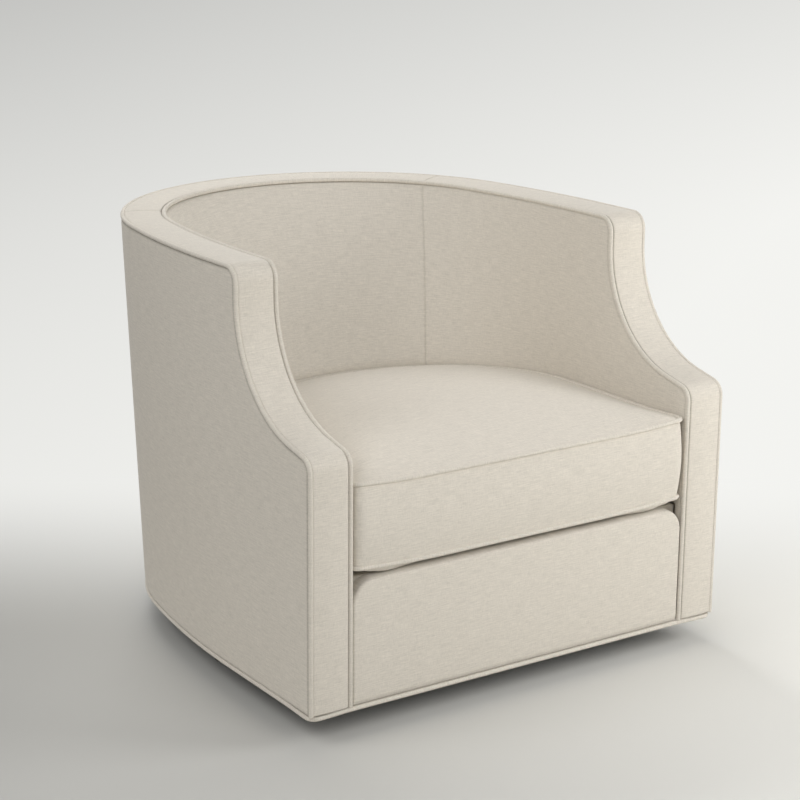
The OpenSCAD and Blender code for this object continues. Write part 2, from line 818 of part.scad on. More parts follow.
// Rows of the cushion, from the rim of the lower face up to the rim of the upper face:
// how far each is drawn in, its height and how much it swells.
function cushion_rows() = [
    for (k = foot_shares)
        let (rise = (k - foot_flat_share) / (1 - foot_flat_share))
        [k, lower_welt_z - foot_drop * (1 - rise * rise), 0],
    [1, lower_welt_z, 0],
    for (t = side_shares) [1, lower_welt_z + boxing_h * t, sin(180 * t)],
    [1, upper_welt_z, 0],
    for (k = crown_shares) [k, upper_welt_z + cushion_crown * (1 - pow(k, face_power)), 0]
];
function cushion_point(edge, row) =
    let (
        out = [cos(edge[1]), sin(edge[1])],
        seam = edge[0] - welt_in * out,
        swell = row[2] * (welt_in + cushion_swell * max(0, -out.y)),
        at = row[0] < 1 ? cushion_heart + (seam - cushion_heart) * row[0] : seam + swell * out
    )
    [at.x, at.y, row[1]];

module seat_cushion() color(linen_light) {
    rows = cushion_rows();
    n = cushion_steps;
    last = len(rows) - 1;
    edges = [for (i = [0:n - 1]) cushion_edge(2 * i / n)];
    polyhedron(
        points = concat(
            [for (row = rows, edge = edges) cushion_point(edge, row)],
            [[cushion_heart.x, cushion_heart.y, lower_welt_z - foot_drop]],
            [[cushion_heart.x, cushion_heart.y, upper_welt_z + cushion_crown]]),
        faces = concat(
            [for (j = [0:last - 1], i = [0:n - 1])
                [j * n + i, (j + 1) * n + i, (j + 1) * n + (i + 1) % n]],
            [for (j = [0:last - 1], i = [0:n - 1])
                [j * n + i, (j + 1) * n + (i + 1) % n, j * n + (i + 1) % n]],
            [for (i = [0:n - 1]) [(last + 1) * n, i, (i + 1) % n]],
            [for (i = [0:n - 1]) [(last + 1) * n + 1, last * n + (i + 1) % n, last * n + i]]));
}

module cushion_welt(z) color(linen)
    tube([for (i = [0:cushion_welt_steps - 1])
        let (
            edge = cushion_edge(2 * i / cushion_welt_steps),
            at = edge[0] - welt_in * [cos(edge[1]), sin(edge[1])]
        )
        [at.x, at.y, z]], welt_r, welt_sides, [0, 0, 1], true);

module cushion_welt_upper() cushion_welt(upper_welt_z);

module cushion_welt_lower() cushion_welt(lower_welt_z);

// Swivel and base
module leg_shape(inset) {
    low = glide_h;
    tip = leg_reach + leg_w / 2 - inset;
    polygon([[0, low - inset], [tip, low - inset], [tip, low + leg_tip_h - inset],
        [hub_run, hub_top - inset], [0, hub_top - inset]]);
}

module leg_plan(inset) {
    translate([0, inset - leg_w / 2]) square([leg_reach, leg_w - 2 * inset]);
    translate([leg_reach, 0]) circle(leg_w / 2 - inset);
}

module leg_body(inset)
    intersection() {
        rotate([90, 0, 0]) linear_extrude(leg_w, center = true) leg_shape(inset);
        translate([0, 0, -over]) linear_extrude(hub_top + over) leg_plan(inset);
    }

module leg() {
    difference() {
        leg_body(0);
        leg_body(leg_wall);
    }
    difference() {
        translate([leg_reach, 0, glide_h]) cylinder(h = leg_wall, r = leg_w / 2 - leg_wall / 2);
        translate([leg_reach, 0, 0]) cylinder(h = hub_top, d = stem_d + 2 * run_fit);
    }
}

module base_legs() color(steel) rotate([0, 0, base_turn])
    difference() {
        union() {
            for (turn = [0:90:270]) rotate([0, 0, turn]) leg();
            translate([0, 0, hub_top - leg_wall]) cylinder(h = leg_wall, r = hub_run);
        }
        cylinder(h = hub_top + over, d = pin_d);
    }

module base_glides() color(rubber) rotate([0, 0, base_turn])
    for (turn = [0:90:270]) rotate([0, 0, turn]) translate([leg_reach, 0, 0]) {
        rotate_extrude() {
            square([glide_d / 2 - glide_edge, glide_h]);
            translate([0, glide_edge]) square([glide_d / 2, glide_h - glide_edge]);
            translate([glide_d / 2 - glide_edge, glide_edge]) circle(glide_edge, $fn = small_sides);
        }
        translate([0, 0, glide_h - glide_edge]) cylinder(h = glide_edge + 2 * leg_wall, d = stem_d);
    }

module ball_groove(z)
    rotate_extrude() translate([ball_ring_r, z]) circle(ball_d / 2 + run_fit, $fn = small_sides);

module lower_plate() color(steel) difference() {
    translate([0, 0, hub_top]) cylinder(h = plate_t, d = plate_d);
    translate([0, 0, hub_top - over]) cylinder(h = 2 * over, d = pin_d);
    ball_groove(ball_z);
}

module upper_plate() color(steel) difference() {
    translate([0, 0, upper_plate_low]) cylinder(h = plate_t, d = plate_d);
    cylinder(h = 2 * frame_low, d = pin_d + 2 * run_fit);
    ball_groove(ball_z);
    bolt_places() cylinder(h = 2 * frame_low, d = bolt_d + 2 * run_fit, $fn = small_sides);
}

module swivel_pin() color(steel) {
    translate([0, 0, hub_top - leg_wall]) cylinder(h = frame_low + run_fit - hub_top + leg_wall, d = pin_d);
    translate([0, 0, frame_low + run_fit]) cylinder(h = pin_head_h, d1 = pin_head_d, d2 = pin_d);
}

module ball_cage() color(nylon) difference() {
    translate([0, 0, ball_z - cage_t / 2]) cylinder(h = cage_t, r = ball_ring_r + cage_w / 2);
    cylinder(h = 2 * frame_low, r = ball_ring_r - cage_w / 2);
    ball_places() cylinder(h = 2 * frame_low, d = ball_d + 2 * run_fit, $fn = small_sides);
}

module ball_places()
    for (place = [1:ball_count])
        rotate([0, 0, place * 360 / ball_count]) translate([ball_ring_r, 0, 0]) children();

module bearing_balls() color(zinc)
    ball_places() translate([0, 0, ball_z]) sphere(d = ball_d, $fn = small_sides);

module bolt_places()
    for (way = [-1, 1], side = [-1, 1]) translate([way * bolt_x, side * bolt_y, 0]) children();

module plate_bolts() color(zinc)
    bolt_places() {
        translate([0, 0, upper_plate_low])
            cylinder(h = plate_t + rail_t - bolt_clear, d = bolt_d, $fn = small_sides);
        translate([0, 0, upper_plate_low - bolt_head_h])
            cylinder(h = bolt_head_h, d1 = bolt_d, d2 = bolt_head_d, $fn = small_sides);
    }

module cross_boards() color(timber) difference() {
    intersection() {
        for (way = [-1, 1])
            translate([-half_w, way * (cross_w + cross_gap) / 2 - cross_w / 2, frame_low])
                cube([chair_w, cross_w, rail_t]);
        plan_solid(inner_ply_in);
    }
    cylinder(h = 2 * frame_low, d = pin_head_d + swivel_clear);
    bolt_places() cylinder(h = 2 * frame_low, d = bolt_d, $fn = small_sides);
}

base_legs();
base_glides();
lower_plate();
swivel_pin();
ball_cage();
bearing_balls();
upper_plate();
plate_bolts();
cross_boards();
corner_blocks();
arm_panel(-1, cover_t, true);  // arm_panel_outer_left
arm_panel(1, cover_t, true);  // arm_panel_outer_right
arm_panel(-1, inner_ply_in, true);  // arm_panel_inner_left
arm_panel(1, inner_ply_in, true);  // arm_panel_inner_right
arm_contour(-1);  // arm_contour_left
arm_contour(1);  // arm_contour_right
bottom_rail(-1);  // bottom_rail_left
bottom_rail(1);  // bottom_rail_right
bottom_rail_back();
back_board();
top_rail();
back_ribs();
seat_rail_front();
seat_rail_side(-1);  // seat_rail_left
seat_rail_side(1);  // seat_rail_right
seat_rail_back();
seat_springs();
spring_clips();
deck_pad();
dust_cover();
front_panel();
outside_side(-1);  // outside_left
outside_side(1);  // outside_right
outside_back();
band_side(-1);  // band_left
band_side(1);  // band_right
band_back();
inside_side(-1);  // inside_left
inside_side(1);  // inside_right
inside_back();
outer_welt();
inner_welt();
hem_welt();
seat_cushion();
cushion_welt_upper();
cushion_welt_lower();
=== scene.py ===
# Swivel barrel chair: linen covers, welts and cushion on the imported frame.
# Metres. +X across to the right arm, +Y from the front to the back, +Z up from the floor.
import json
import math

import bmesh
import bpy
import numpy as np
from mathutils import Matrix, Vector
from mathutils.geometry import delaunay_2d_cdt


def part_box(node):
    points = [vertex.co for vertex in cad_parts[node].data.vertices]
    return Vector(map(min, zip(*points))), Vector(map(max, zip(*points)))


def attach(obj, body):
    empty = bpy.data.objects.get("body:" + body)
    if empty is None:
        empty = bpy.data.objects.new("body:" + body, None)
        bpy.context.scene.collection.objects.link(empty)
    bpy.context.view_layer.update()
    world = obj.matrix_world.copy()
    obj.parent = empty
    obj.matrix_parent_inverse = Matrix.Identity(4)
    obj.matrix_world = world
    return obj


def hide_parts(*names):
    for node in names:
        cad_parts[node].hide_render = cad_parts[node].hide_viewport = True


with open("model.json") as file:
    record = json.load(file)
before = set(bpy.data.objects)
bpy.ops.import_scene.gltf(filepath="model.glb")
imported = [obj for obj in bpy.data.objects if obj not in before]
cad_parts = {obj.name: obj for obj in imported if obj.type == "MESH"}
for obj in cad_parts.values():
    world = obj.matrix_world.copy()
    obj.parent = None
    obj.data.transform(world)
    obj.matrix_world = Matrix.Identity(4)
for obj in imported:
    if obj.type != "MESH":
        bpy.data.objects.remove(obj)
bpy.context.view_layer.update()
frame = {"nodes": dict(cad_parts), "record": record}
MM = 0.001

# Driving sizes, as in the CAD model
HALF_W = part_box("outside_right")[1].x
FRONT_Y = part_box("band_right")[0].y
HEM_H = 45 * MM
BACK_H = 735 * MM
BACK_Y = FRONT_Y + 974 * MM
BACK_R = 402 * MM
RAKE = math.radians(5)
FALL = math.radians(0.9)
SIDE_STRAIGHT = 321 * MM
SEAM_ANGLE = math.radians(29)
BAND_W = 80 * MM
WELT_R = 4 * MM
WELT_IN = 3 * MM
COVER_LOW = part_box("front_panel")[0].z

# Arm line
ARM_H = 481 * MM
ARM_RISE = math.radians(11.5)
SCOOP_R = 203 * MM
CREST_Y = FRONT_Y + 225 * MM
CREST_R = 29 * MM
ARM_R = 27 * MM

# Seat and cushion
SEAT_APEX = BACK_Y - 355 * MM
SEAT_START = SEAT_APEX - (HALF_W - BAND_W) + 46 * MM
SEAT_BACK_R = HALF_W - BAND_W + 55 * MM
SEAT_SEAM_TURN = math.radians(62)
DECK_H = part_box("deck_pad")[1].z
LUMBAR_SWELL = 12 * MM
RISE_MOST = 1.05
SEAM_SHARE = 0.6
LOWER_WELT_Z = 282 * MM
UPPER_WELT_Z = 423 * MM
CUSHION_FOOT = 15 * MM
CUSHION_CROWN = 30 * MM
CUSHION_GAP = 2.5 * MM
CUSHION_CORNER_R = 17 * MM
CUSHION_SWELL = 6 * MM

# How the covers meet the welts
TUCK = 6.3 * MM
SEAM_DIP = 4.2 * MM
SEAM_WIDTH = 2.1 * MM
CREASE_PACE = 1.6
DIP_POWER = 1.5
SOFT_DIP = 0.6 * MM
SOFT_WIDTH = 7 * MM
SIDE_CROWN = 1.0 * MM
BACK_CROWN = 0.8 * MM
CROWN_REACH = 60 * MM
PLAIN_SHARE = 0.3
# PLAIN_SHADE, SHADE_WIDTH and WIDE_SHADE set the shade painted into the cloth's colour along its seams
PLAIN_SHADE = 0.18
INSIDE_SHARE = 0.35
HEM_SHARE = 0.4
SHADE_WIDTH = 1.9 * MM
WIDE_SHADE = 3.0 * MM

# How close together the points of the cloth lie
FINE_STEP = 2.8 * MM
FINE_WIDTH = 14 * MM
COARSE_STEP = 12 * MM
EDGE_STEP = 4 * MM

# Differences that count as none
MERGE = 1e-6
SAME = 1e-5
TINY = 1e-9

# How many points each line has
WELT_SIDES = 14
TURN_POINTS = 9
SCOOP_POINTS = 45
FRONT_POINTS = 60
ARM_POINTS = 5
CREST_POINTS = 14
SIDE_POINTS = 12
BOW_POINTS = 24
BACK_POINTS = 70
COVER_TOP_POINTS = 40
BACK_TOP_POINTS = 90
INSIDE_TOP_POINTS = 30

RISE_H = BACK_H - HEM_H
PLAN_APEX = BACK_Y * math.cos(RAKE) - RISE_H * math.sin(RAKE)
PLAN_START = (FRONT_Y + SIDE_STRAIGHT) * math.cos(RAKE) - RISE_H * math.sin(RAKE)
INNER_HALF = HALF_W - BAND_W
SCOOP_Y = CREST_Y - SCOOP_R


# Shape of the barrel
class Arch:
    """Half an arch: a bowed side from the start, then a round back to the apex."""

    def __init__(self, half, start, apex, back):
        self.half = half
        self.start = start
        self.back = back
        self.centre = apex - back
        run = self.centre - start
        self.bow = (half * half + run * run - back * back) / (2 * (half - back))
        way = 1 if back > self.bow else -1
        self.join = math.atan2(way * (start - self.centre), way * (half - self.bow))

    def point(self, turn, inset):
        if turn < self.join:
            reach = self.bow - inset
            return (self.half - self.bow + reach * math.cos(turn), self.start + reach * math.sin(turn))
        reach = self.back - inset
        return (reach * math.cos(turn), self.centre + reach * math.sin(turn))

    def lengths(self, inset):
        return (self.bow - inset) * self.join, (self.back - inset) * (math.pi / 2 - self.join)

    def turn_at(self, run, inset):
        bow_run = self.lengths(inset)[0]
        if run < bow_run:
            return run / (self.bow - inset)
        return self.join + (run - bow_run) / (self.back - inset)

    def run_at(self, turn, inset):
        if turn < self.join:
            return turn * (self.bow - inset)
        return self.lengths(inset)[0] + (turn - self.join) * (self.back - inset)


barrel = Arch(HALF_W, PLAN_START, PLAN_APEX, BACK_R)
HEM_STEPS = [s * MM for s in (0, 0.7, 1.4, 2.2, 3.2, 5, 8, 12)]
SEAM_STEPS = [s * MM for s in (-6, -3, -1.4, -0.6, 0, 0.6, 1.4, 3, 6)]


def top_z(y):
    return BACK_H + (BACK_Y - y) * math.tan(FALL)


def on_rake(plan_y, z):
    return plan_y / math.cos(RAKE) + (z - HEM_H) * math.tan(RAKE)


def from_rake(y, z):
    return (y - (z - HEM_H) * math.tan(RAKE)) * math.cos(RAKE)


def top_point(x, plan_y, under):
    """Where a line of the raked barrel meets the top plane, or a plane under it."""
    level = BACK_H + (BACK_Y - plan_y / math.cos(RAKE) + HEM_H * math.tan(RAKE)) * math.tan(FALL)
    z = (level - under / math.cos(FALL)) / (1 + math.tan(RAKE) * math.tan(FALL))
    return (x, on_rake(plan_y, z), z)


def arc(centre, radius, start, end, count):
    return [(centre[0] + radius * math.cos(a), centre[1] + radius * math.sin(a))
            for a in np.linspace(start, end, count)]


def line(start, end, count):
    return [tuple(p) for p in np.linspace(start, end, count)]


foot_run = SCOOP_Y + SCOOP_R * math.sin(ARM_RISE) - FRONT_Y
SCOOP_Z = ARM_H + foot_run * math.tan(ARM_RISE) + SCOOP_R * math.cos(ARM_RISE)
ARM_TURN = (FRONT_Y + ARM_R, ARM_H + ARM_R * (math.tan(ARM_RISE) - 1 / math.cos(ARM_RISE)))
CREST_TURN = (CREST_Y + CREST_R, top_z(CREST_Y + CREST_R) - CREST_R / math.cos(FALL))


def side_profile(under):
    """Points (y, z) of the arm line, a depth under it, from the front hem to the crest."""
    corner = arc(ARM_TURN, ARM_R - under, math.pi, math.pi / 2 + ARM_RISE, TURN_POINTS)
    scoop = arc((SCOOP_Y, SCOOP_Z), SCOOP_R + under, ARM_RISE - math.pi / 2, 0, SCOOP_POINTS)
    crest = arc(CREST_TURN, CREST_R - under, math.pi, math.pi / 2 - FALL, TURN_POINTS)
    foot = [(FRONT_Y + under, COVER_LOW + step) for step in HEM_STEPS]
    return (foot[:-1] + line(foot[-1], corner[0], FRONT_POINTS)[:-1] + corner[:-1]
            + line(corner[-1], scoop[0], ARM_POINTS)[:-1] + scoop[:-1]
            + line(scoop[-1], crest[0], CREST_POINTS)[:-1] + crest)


def barrel_turns(bow_points, back_points):
    """Turns from the start of the barrel's bowed side to the middle of its back."""
    bow = np.linspace(0, barrel.join, bow_points)[:-1]
    return list(bow) + list(np.linspace(barrel.join, math.pi / 2, back_points))


def edge_path(inset, under):
    """Right half of the arm line, from the front hem to the middle of the back."""
    x = HALF_W - inset
    path = [(x, y, z) for y, z in side_profile(under)]
    start = top_point(x, PLAN_START, under)
    path += line(path[-1], start, SIDE_POINTS)[1:-1]
    turns = barrel_turns(BOW_POINTS, BACK_POINTS)
    for turn in sorted(turns + [SEAM_ANGLE + step / (BACK_R - inset) for step in SEAM_STEPS]):
        plan = barrel.point(turn, inset)
        path.append(top_point(plan[0], plan[1], under))
    return path


def mirrored(path):
    """The path and its mirror image back from its last point."""
    return list(path) + [(-p[0], *p[1:]) for p in path[-2::-1]]


# Mesh helpers
def new_object(name, verts, faces, uvs=None, smooth=True):
    mesh = bpy.data.meshes.new(name)
    mesh.from_pydata([tuple(v) for v in verts], [], [tuple(f) for f in faces])
    if uvs is not None:
        layer = mesh.uv_layers.new(name="UVMap")
        index = np.zeros(len(mesh.loops), np.int32)
        mesh.loops.foreach_get("vertex_index", index)
        layer.data.foreach_set("uv", np.asarray(uvs, np.float32)[index].ravel())
    mesh.polygons.foreach_set("use_smooth", [smooth] * len(mesh.polygons))
    mesh.update()
    obj = bpy.data.objects.new(name, mesh)
    bpy.context.scene.collection.objects.link(obj)
    return obj


def running_length(points):
    points = np.asarray(points, float)
    return np.concatenate([[0], np.cumsum(np.linalg.norm(np.diff(points, axis=0), axis=1))])


def strip(name, rows, across, closed=False):
    """A surface through rows of points that share their count. across is each row's place over the cloth."""
    rows = np.asarray(rows, float)
    count, n = rows.shape[:2]
    middle = rows[count // 2]
    along = running_length(middle)
    verts = rows.reshape(-1, 3)
    uvs = [(across[i], along[k]) for i in range(count) for k in range(n)]
    faces = []
    for i in range(count - 1):
        for k in range(n if closed else n - 1):
            a, b = i * n + k, i * n + (k + 1) % n
            faces.append((a, b, b + n, a + n))
    return new_object(name, verts, faces, uvs)


def tube(name, path, radius, sides=WELT_SIDES, closed=False, first_up=(0, 0, 1)):
    """A round welt along a path, with closed ends."""
    path = np.asarray(path, float)
    n = len(path)
    if closed:
        ways = np.roll(path, -1, 0) - np.roll(path, 1, 0)
    else:
        ways = np.gradient(path, axis=0)
    ways /= np.linalg.norm(ways, axis=1)[:, None]
    up = np.array(first_up, float)
    rings = []
    for i in range(n):
        up = up - up.dot(ways[i]) * ways[i]
        up /= np.linalg.norm(up)
        right = np.cross(ways[i], up)
        rings.append([path[i] + radius * (math.cos(a) * up + math.sin(a) * right)
                      for a in np.linspace(0, 2 * math.pi, sides, endpoint=False)])
    along = running_length(path)
    verts = [p for ring in rings for p in ring]
    uvs = [(k * 2 * math.pi * radius / sides, along[i]) for i in range(n) for k in range(sides)]
    faces = []
    for i in range(n if closed else n - 1):
        j = (i + 1) % n
        for k in range(sides):
            m = (k + 1) % sides
            faces.append((i * sides + k, i * sides + m, j * sides + m, j * sides + k))
    if not closed:
        faces.append(tuple(range(sides - 1, -1, -1)))
        faces.append(tuple((n - 1) * sides + k for k in range(sides)))
    return new_object(name, verts, faces, uvs)


def resample(points, step):
    """A closed outline with points about one step apart, corners kept."""
    result = []
    for a, b in zip(points, list(points[1:]) + [points[0]]):
        a, b = np.asarray(a, float), np.asarray(b, float)
        count = max(1, int(round(np.linalg.norm(b - a) / step)))
        result += [tuple(a + (b - a) * i / count) for i in range(count)]
    return result


def edge_distance(points, outline):
    """Distance of each point from a closed outline."""
    points = np.asarray(points, float)
    a = np.asarray(outline, float)
    b = np.roll(a, -1, 0)
    best = np.full(len(points), math.inf)
    for start, end in zip(a, b):
        way = end - start
        share = np.clip(((points - start) @ way) / max(way @ way, TINY ** 2), 0, 1)
        best = np.minimum(best, np.linalg.norm(points - start - share[:, None] * way, axis=1))
    return best


def inside_outline(points, outline):
    points = np.asarray(points, float)
    a = np.asarray(outline, float)
    b = np.roll(a, -1, 0)
    hits = np.zeros(len(points), bool)
    for (x0, y0), (x1, y1) in zip(a, b):
        if y0 == y1:
            continue
        crosses = (points[:, 1] > y0) != (points[:, 1] > y1)
        hits ^= crosses & (points[:, 0] < x0 + (points[:, 1] - y0) * (x1 - x0) / (y1 - y0))
    return hits


def fill_points(outline):
    """Points inside an outline: close together along its edge and wider in the middle."""
    low, high = np.min(outline, 0), np.max(outline, 0)
    chosen = []
    for step, near, far in ((FINE_STEP, FINE_STEP / 2, FINE_WIDTH), (COARSE_STEP, FINE_WIDTH, math.inf)):
        xs = np.arange(low[0], high[0], step)
        ys = np.arange(low[1], high[1], step)
        grid = np.array([(x + (j % 2) * step / 2, y) for j, y in enumerate(ys) for x in xs])
        grid = grid[inside_outline(grid, outline)]
        distance = edge_distance(grid, outline)
        chosen.append(grid[(distance > near) & (distance <= far)])
    return np.concatenate(chosen)


def flat_mesh(outline):
    """An outline with close points, and the points and faces of a flat mesh that fills it."""
    outline = resample(outline, EDGE_STEP)
    points = np.concatenate([np.array(outline), fill_points(outline)])
    found = delaunay_2d_cdt([Vector(p) for p in points], [], [list(range(len(outline)))], 1, MERGE)
    return outline, np.array([tuple(p) for p in found[0]]), found[2]


def seam_sink(distance, share=1.0):
    """How far cloth lies under its face at a distance from its seam: a sharp crease and a soft shoulder."""
    crease = SEAM_DIP * np.exp(-(distance / SEAM_WIDTH * CREASE_PACE) ** DIP_POWER)
    return share * (crease + SOFT_DIP * np.exp(-(distance / SOFT_WIDTH) ** DIP_POWER))


def seam_painted_shade(distance, share, width=SHADE_WIDTH):
    """How much painted seam shadow cloth has at a distance from the seam."""
    return share * np.exp(-(distance / width) ** 2)


def paint_seam_shade(obj, shade_shares):
    """Stores how much painted seam shadow each point has: the linen darkens its colour by it. Points past the
    list have none.
    """
    layer = obj.data.attributes.new("seam", "FLOAT", "POINT")
    values = np.zeros(len(obj.data.vertices), np.float32)
    values[:len(shade_shares)] = np.clip(shade_shares, 0, 1)
    layer.data.foreach_set("value", values)


def cloth_panel(name, outline, place, crown=0.0, side=1, edge=1.0, plain=(), width=SHADE_WIDTH):
    """A panel of cloth over an outline in its own flat measure.

    place gives each flat point's place and outward direction in space. Along the edge the cloth dips into
    its seam by the edge share, and less at an upright seam without a welt: plain lists where those stand.
    width is the reach of the shade painted along the seam.
    """
    outline, flat, faces = flat_mesh(outline)
    distance = edge_distance(flat, outline)
    share = np.full(len(flat), edge)
    for run in plain:
        share[abs(abs(flat[:, 0] - run) - distance) < SAME] = PLAIN_SHARE
    share[abs(flat[:, 1] - COVER_LOW - distance) < SAME] = HEM_SHARE
    sink = seam_sink(distance, share)
    swell = crown * (1 - np.exp(-distance / CROWN_REACH))
    verts = []
    for (a, b), down in zip(flat, sink - swell):
        position, out = place(a, b)
        verts.append(position - down * out)
    if side < 0:
        faces = [f[::-1] for f in faces]
    obj = new_object(name, verts, faces, flat)
    # Painted seam shade: darkens the cloth's colour along its edge, less at a plain seam
    share[share == PLAIN_SHARE] = PLAIN_SHADE
    paint_seam_shade(obj, seam_painted_shade(distance, share, width))
    return obj


def outward(place, step=1 * MM):
    """Adds the outward direction to a function that places a flat point."""
    def placed(a, b):
        here = np.array(place(a, b))
        along = np.array(place(a + step, b)) - here
        up = np.array(place(a, b + step)) - here
        out = np.cross(along, up)
        return here, out / np.linalg.norm(out)
    return placed


def mirror_object(obj, name):
    """A copy mirrored to the left, with its cloth the right way out."""
    copy = obj.copy()
    copy.data = obj.data.copy()
    copy.name = name
    copy.data.name = name
    copy.data.transform(Matrix.Scale(-1, 4, (1, 0, 0)))
    copy.data.flip_normals()
    bpy.context.scene.collection.objects.link(copy)
    return copy


# Outside covers
def wall_point(run, z):
    """A point of the outside face: run is the distance behind the start of the bowed side."""
    if run < 0:
        return (HALF_W, on_rake(PLAN_START + run, z), z)
    x, y = barrel.point(barrel.turn_at(run, 0), 0)
    return (x, on_rake(y, z), z)


SEAM_RUN = barrel.run_at(SEAM_ANGLE, 0)
APEX_RUN = sum(barrel.lengths(0))


def top_under(run, under):
    """Height of a plane under the top, over a point of the outside face."""
    turn = barrel.turn_at(run, 0)
    x, y = barrel.point(turn, 0)
    return top_point(x, y, under)[2]


def outside_side():
    outline = [(from_rake(y, z) - PLAN_START, z) for y, z in side_profile(TUCK)]
    for run in np.linspace(0, SEAM_RUN, COVER_TOP_POINTS):
        outline.append((run, top_under(run, TUCK)))
    outline.append((SEAM_RUN, COVER_LOW))
    return cloth_panel("outside_cover_right", outline, outward(wall_point), crown=SIDE_CROWN,
                       plain=[SEAM_RUN], width=WIDE_SHADE)


def outside_back():
    reach = APEX_RUN - SEAM_RUN

    def place(run, z):
        point = wall_point(APEX_RUN - abs(run), z)
        return (point[0] if run < 0 else -point[0], point[1], point[2])
    outline = [(-reach, COVER_LOW)]
    for run in np.linspace(-reach, reach, BACK_TOP_POINTS):
        outline.append((run, top_under(APEX_RUN - abs(run), TUCK)))
    outline.append((reach, COVER_LOW))
    return cloth_panel("outside_cover_back", outline, outward(place), crown=BACK_CROWN,
                       plain=[-reach, reach], width=WIDE_SHADE)


# Border over the arm fronts and the top
BORDER_EDGES = [e * MM for e in (0, 0.7, 1.4, 2.2, 3.2, 5, 8, 13, 20, 28)]
BORDER_CROWN = 1.6 * MM
OUTER_SHARE = 0.1


def seam_distance(x, y, z):
    """Distance of a point of the border from the upright seam over its own side."""
    return abs(math.cos(SEAM_ANGLE) * (from_rake(y, z) - barrel.centre) - math.sin(SEAM_ANGLE) * abs(x))


def border():
    """One long strip of cloth, with a crease along its inner welt and at its two seams, and painted shade
    along them and the hem.
    """
    rows = []
    shades = []
    width = BAND_W - 2 * TUCK
    across = BORDER_EDGES + [width / 2] + [width - e for e in BORDER_EDGES[::-1]]
    for place in across:
        crease = seam_sink(width - place) + seam_sink(place, OUTER_SHARE)
        under = crease - BORDER_CROWN * math.sin(math.pi * place / width)
        row = []
        for x, y, z in mirrored(edge_path(TUCK + place, under)):
            # Painted shade along the welts, the seams and the hem, darkening the colour
            shaded = seam_painted_shade(width - place, 1.0) + seam_painted_shade(place, OUTER_SHARE)
            if y > 0:
                away = seam_distance(x, y, z)
                z -= seam_sink(away, PLAIN_SHARE)
                shaded += seam_painted_shade(away, PLAIN_SHADE)
            elif z < COVER_LOW + HEM_STEPS[-1]:
                shaded += seam_painted_shade(z - COVER_LOW, HEM_SHARE)
                y += seam_sink(z - COVER_LOW, HEM_SHARE)
            row.append((x, y, z))
            shades.append(shaded)
        rows.append(row)
    obj = strip("border", rows, across)
    paint_seam_shade(obj, np.array(shades))
    return obj


# Inside of the arms and back
rim_z = top_z(BACK_Y - BAND_W) - TUCK
rim = Arch(HALF_W, on_rake(PLAN_START, rim_z), on_rake(PLAN_APEX, rim_z), BACK_R)
seat = Arch(INNER_HALF, SEAT_START, SEAT_APEX, SEAT_BACK_R)
INSIDE_RUN = sum(rim.lengths(BAND_W))
SEAT_RUN = sum(seat.lengths(0))
RIM_SEAM = rim.run_at(SEAM_ANGLE, BAND_W) / INSIDE_RUN
SEAT_SEAM = seat.run_at(SEAT_SEAM_TURN, 0) / SEAT_RUN


def seamed(share, seam):
    """The share of a line's length that puts its seam at a given share."""
    if share < SEAM_SHARE:
        return share / SEAM_SHARE * seam
    return seam + (share - SEAM_SHARE) / (1 - SEAM_SHARE) * (1 - seam)


def inside_top(share):
    """Height at which the inside cover ends, at a share of the way to the middle of the back."""
    run = seamed(share, RIM_SEAM) * INSIDE_RUN
    return top_z(rim.point(rim.turn_at(run, BAND_W), BAND_W)[1]) - TUCK / math.cos(FALL)


def inside_point(run, z):
    """A point of the inside face: run goes from the start of the curve (0) to the middle of the back."""
    if run <= 0:
        lean = (rim.start - SEAT_START) * max(0, (z - UPPER_WELT_Z) / (rim_z - UPPER_WELT_Z))
        return (INNER_HALF, SEAT_START + run + lean, z)
    share = min(run / INSIDE_RUN, 2)
    over = share > 1
    if over:
        share = 2 - share
    rim_turn = rim.turn_at(seamed(share, RIM_SEAM) * INSIDE_RUN, BAND_W)
    seat_turn = seat.turn_at(seamed(share, SEAT_SEAM) * SEAT_RUN, 0)
    high = rim.point(rim_turn, BAND_W)
    low = seat.point(seat_turn, 0)
    top = inside_top(share)
    rise = min(RISE_MOST, max(0, (z - UPPER_WELT_Z) / (top - UPPER_WELT_Z)))
    swell = LUMBAR_SWELL * math.sin(min(1, share / SEAM_SHARE) * math.pi / 2)
    swell *= math.sin(math.pi * min(1, rise))
    x = low[0] * (1 - rise) + high[0] * rise - swell * math.cos(seat_turn)
    y = low[1] * (1 - rise) + high[1] * rise - swell * math.sin(seat_turn)
    return (-x if over else x, y, z)


def inside_out(run, z):
    """A point of the inside face, and the direction into the room from it."""
    position, out = outward(inside_point)(run, z)
    return position, -out


def inside_side():
    seam = SEAM_SHARE * INSIDE_RUN
    panel_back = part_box("front_panel")[1].y
    outline = [(y - SEAT_START, z) for y, z in side_profile(TUCK)]
    outline += [(run, inside_top(run / INSIDE_RUN)) for run in np.linspace(0, seam, INSIDE_TOP_POINTS)]
    outline += [(seam, DECK_H), (panel_back - SEAT_START, DECK_H), (panel_back - SEAT_START, COVER_LOW)]
    return cloth_panel("inside_cover_right", outline, inside_out, side=-1, edge=INSIDE_SHARE, plain=[seam])


def inside_back():
    seam = SEAM_SHARE * INSIDE_RUN
    far = 2 * INSIDE_RUN - seam
    outline = [(seam, DECK_H)]
    for run in np.linspace(seam, far, 2 * INSIDE_TOP_POINTS):
        outline.append((run, inside_top(min(run, 2 * INSIDE_RUN - run) / INSIDE_RUN)))
    outline.append((far, DECK_H))
    return cloth_panel("inside_cover_back", outline, inside_out, side=-1, edge=INSIDE_SHARE,
                       plain=[seam, far])


# Seat cushion
cushion_front = FRONT_Y
cushion_half = INNER_HALF - CUSHION_GAP


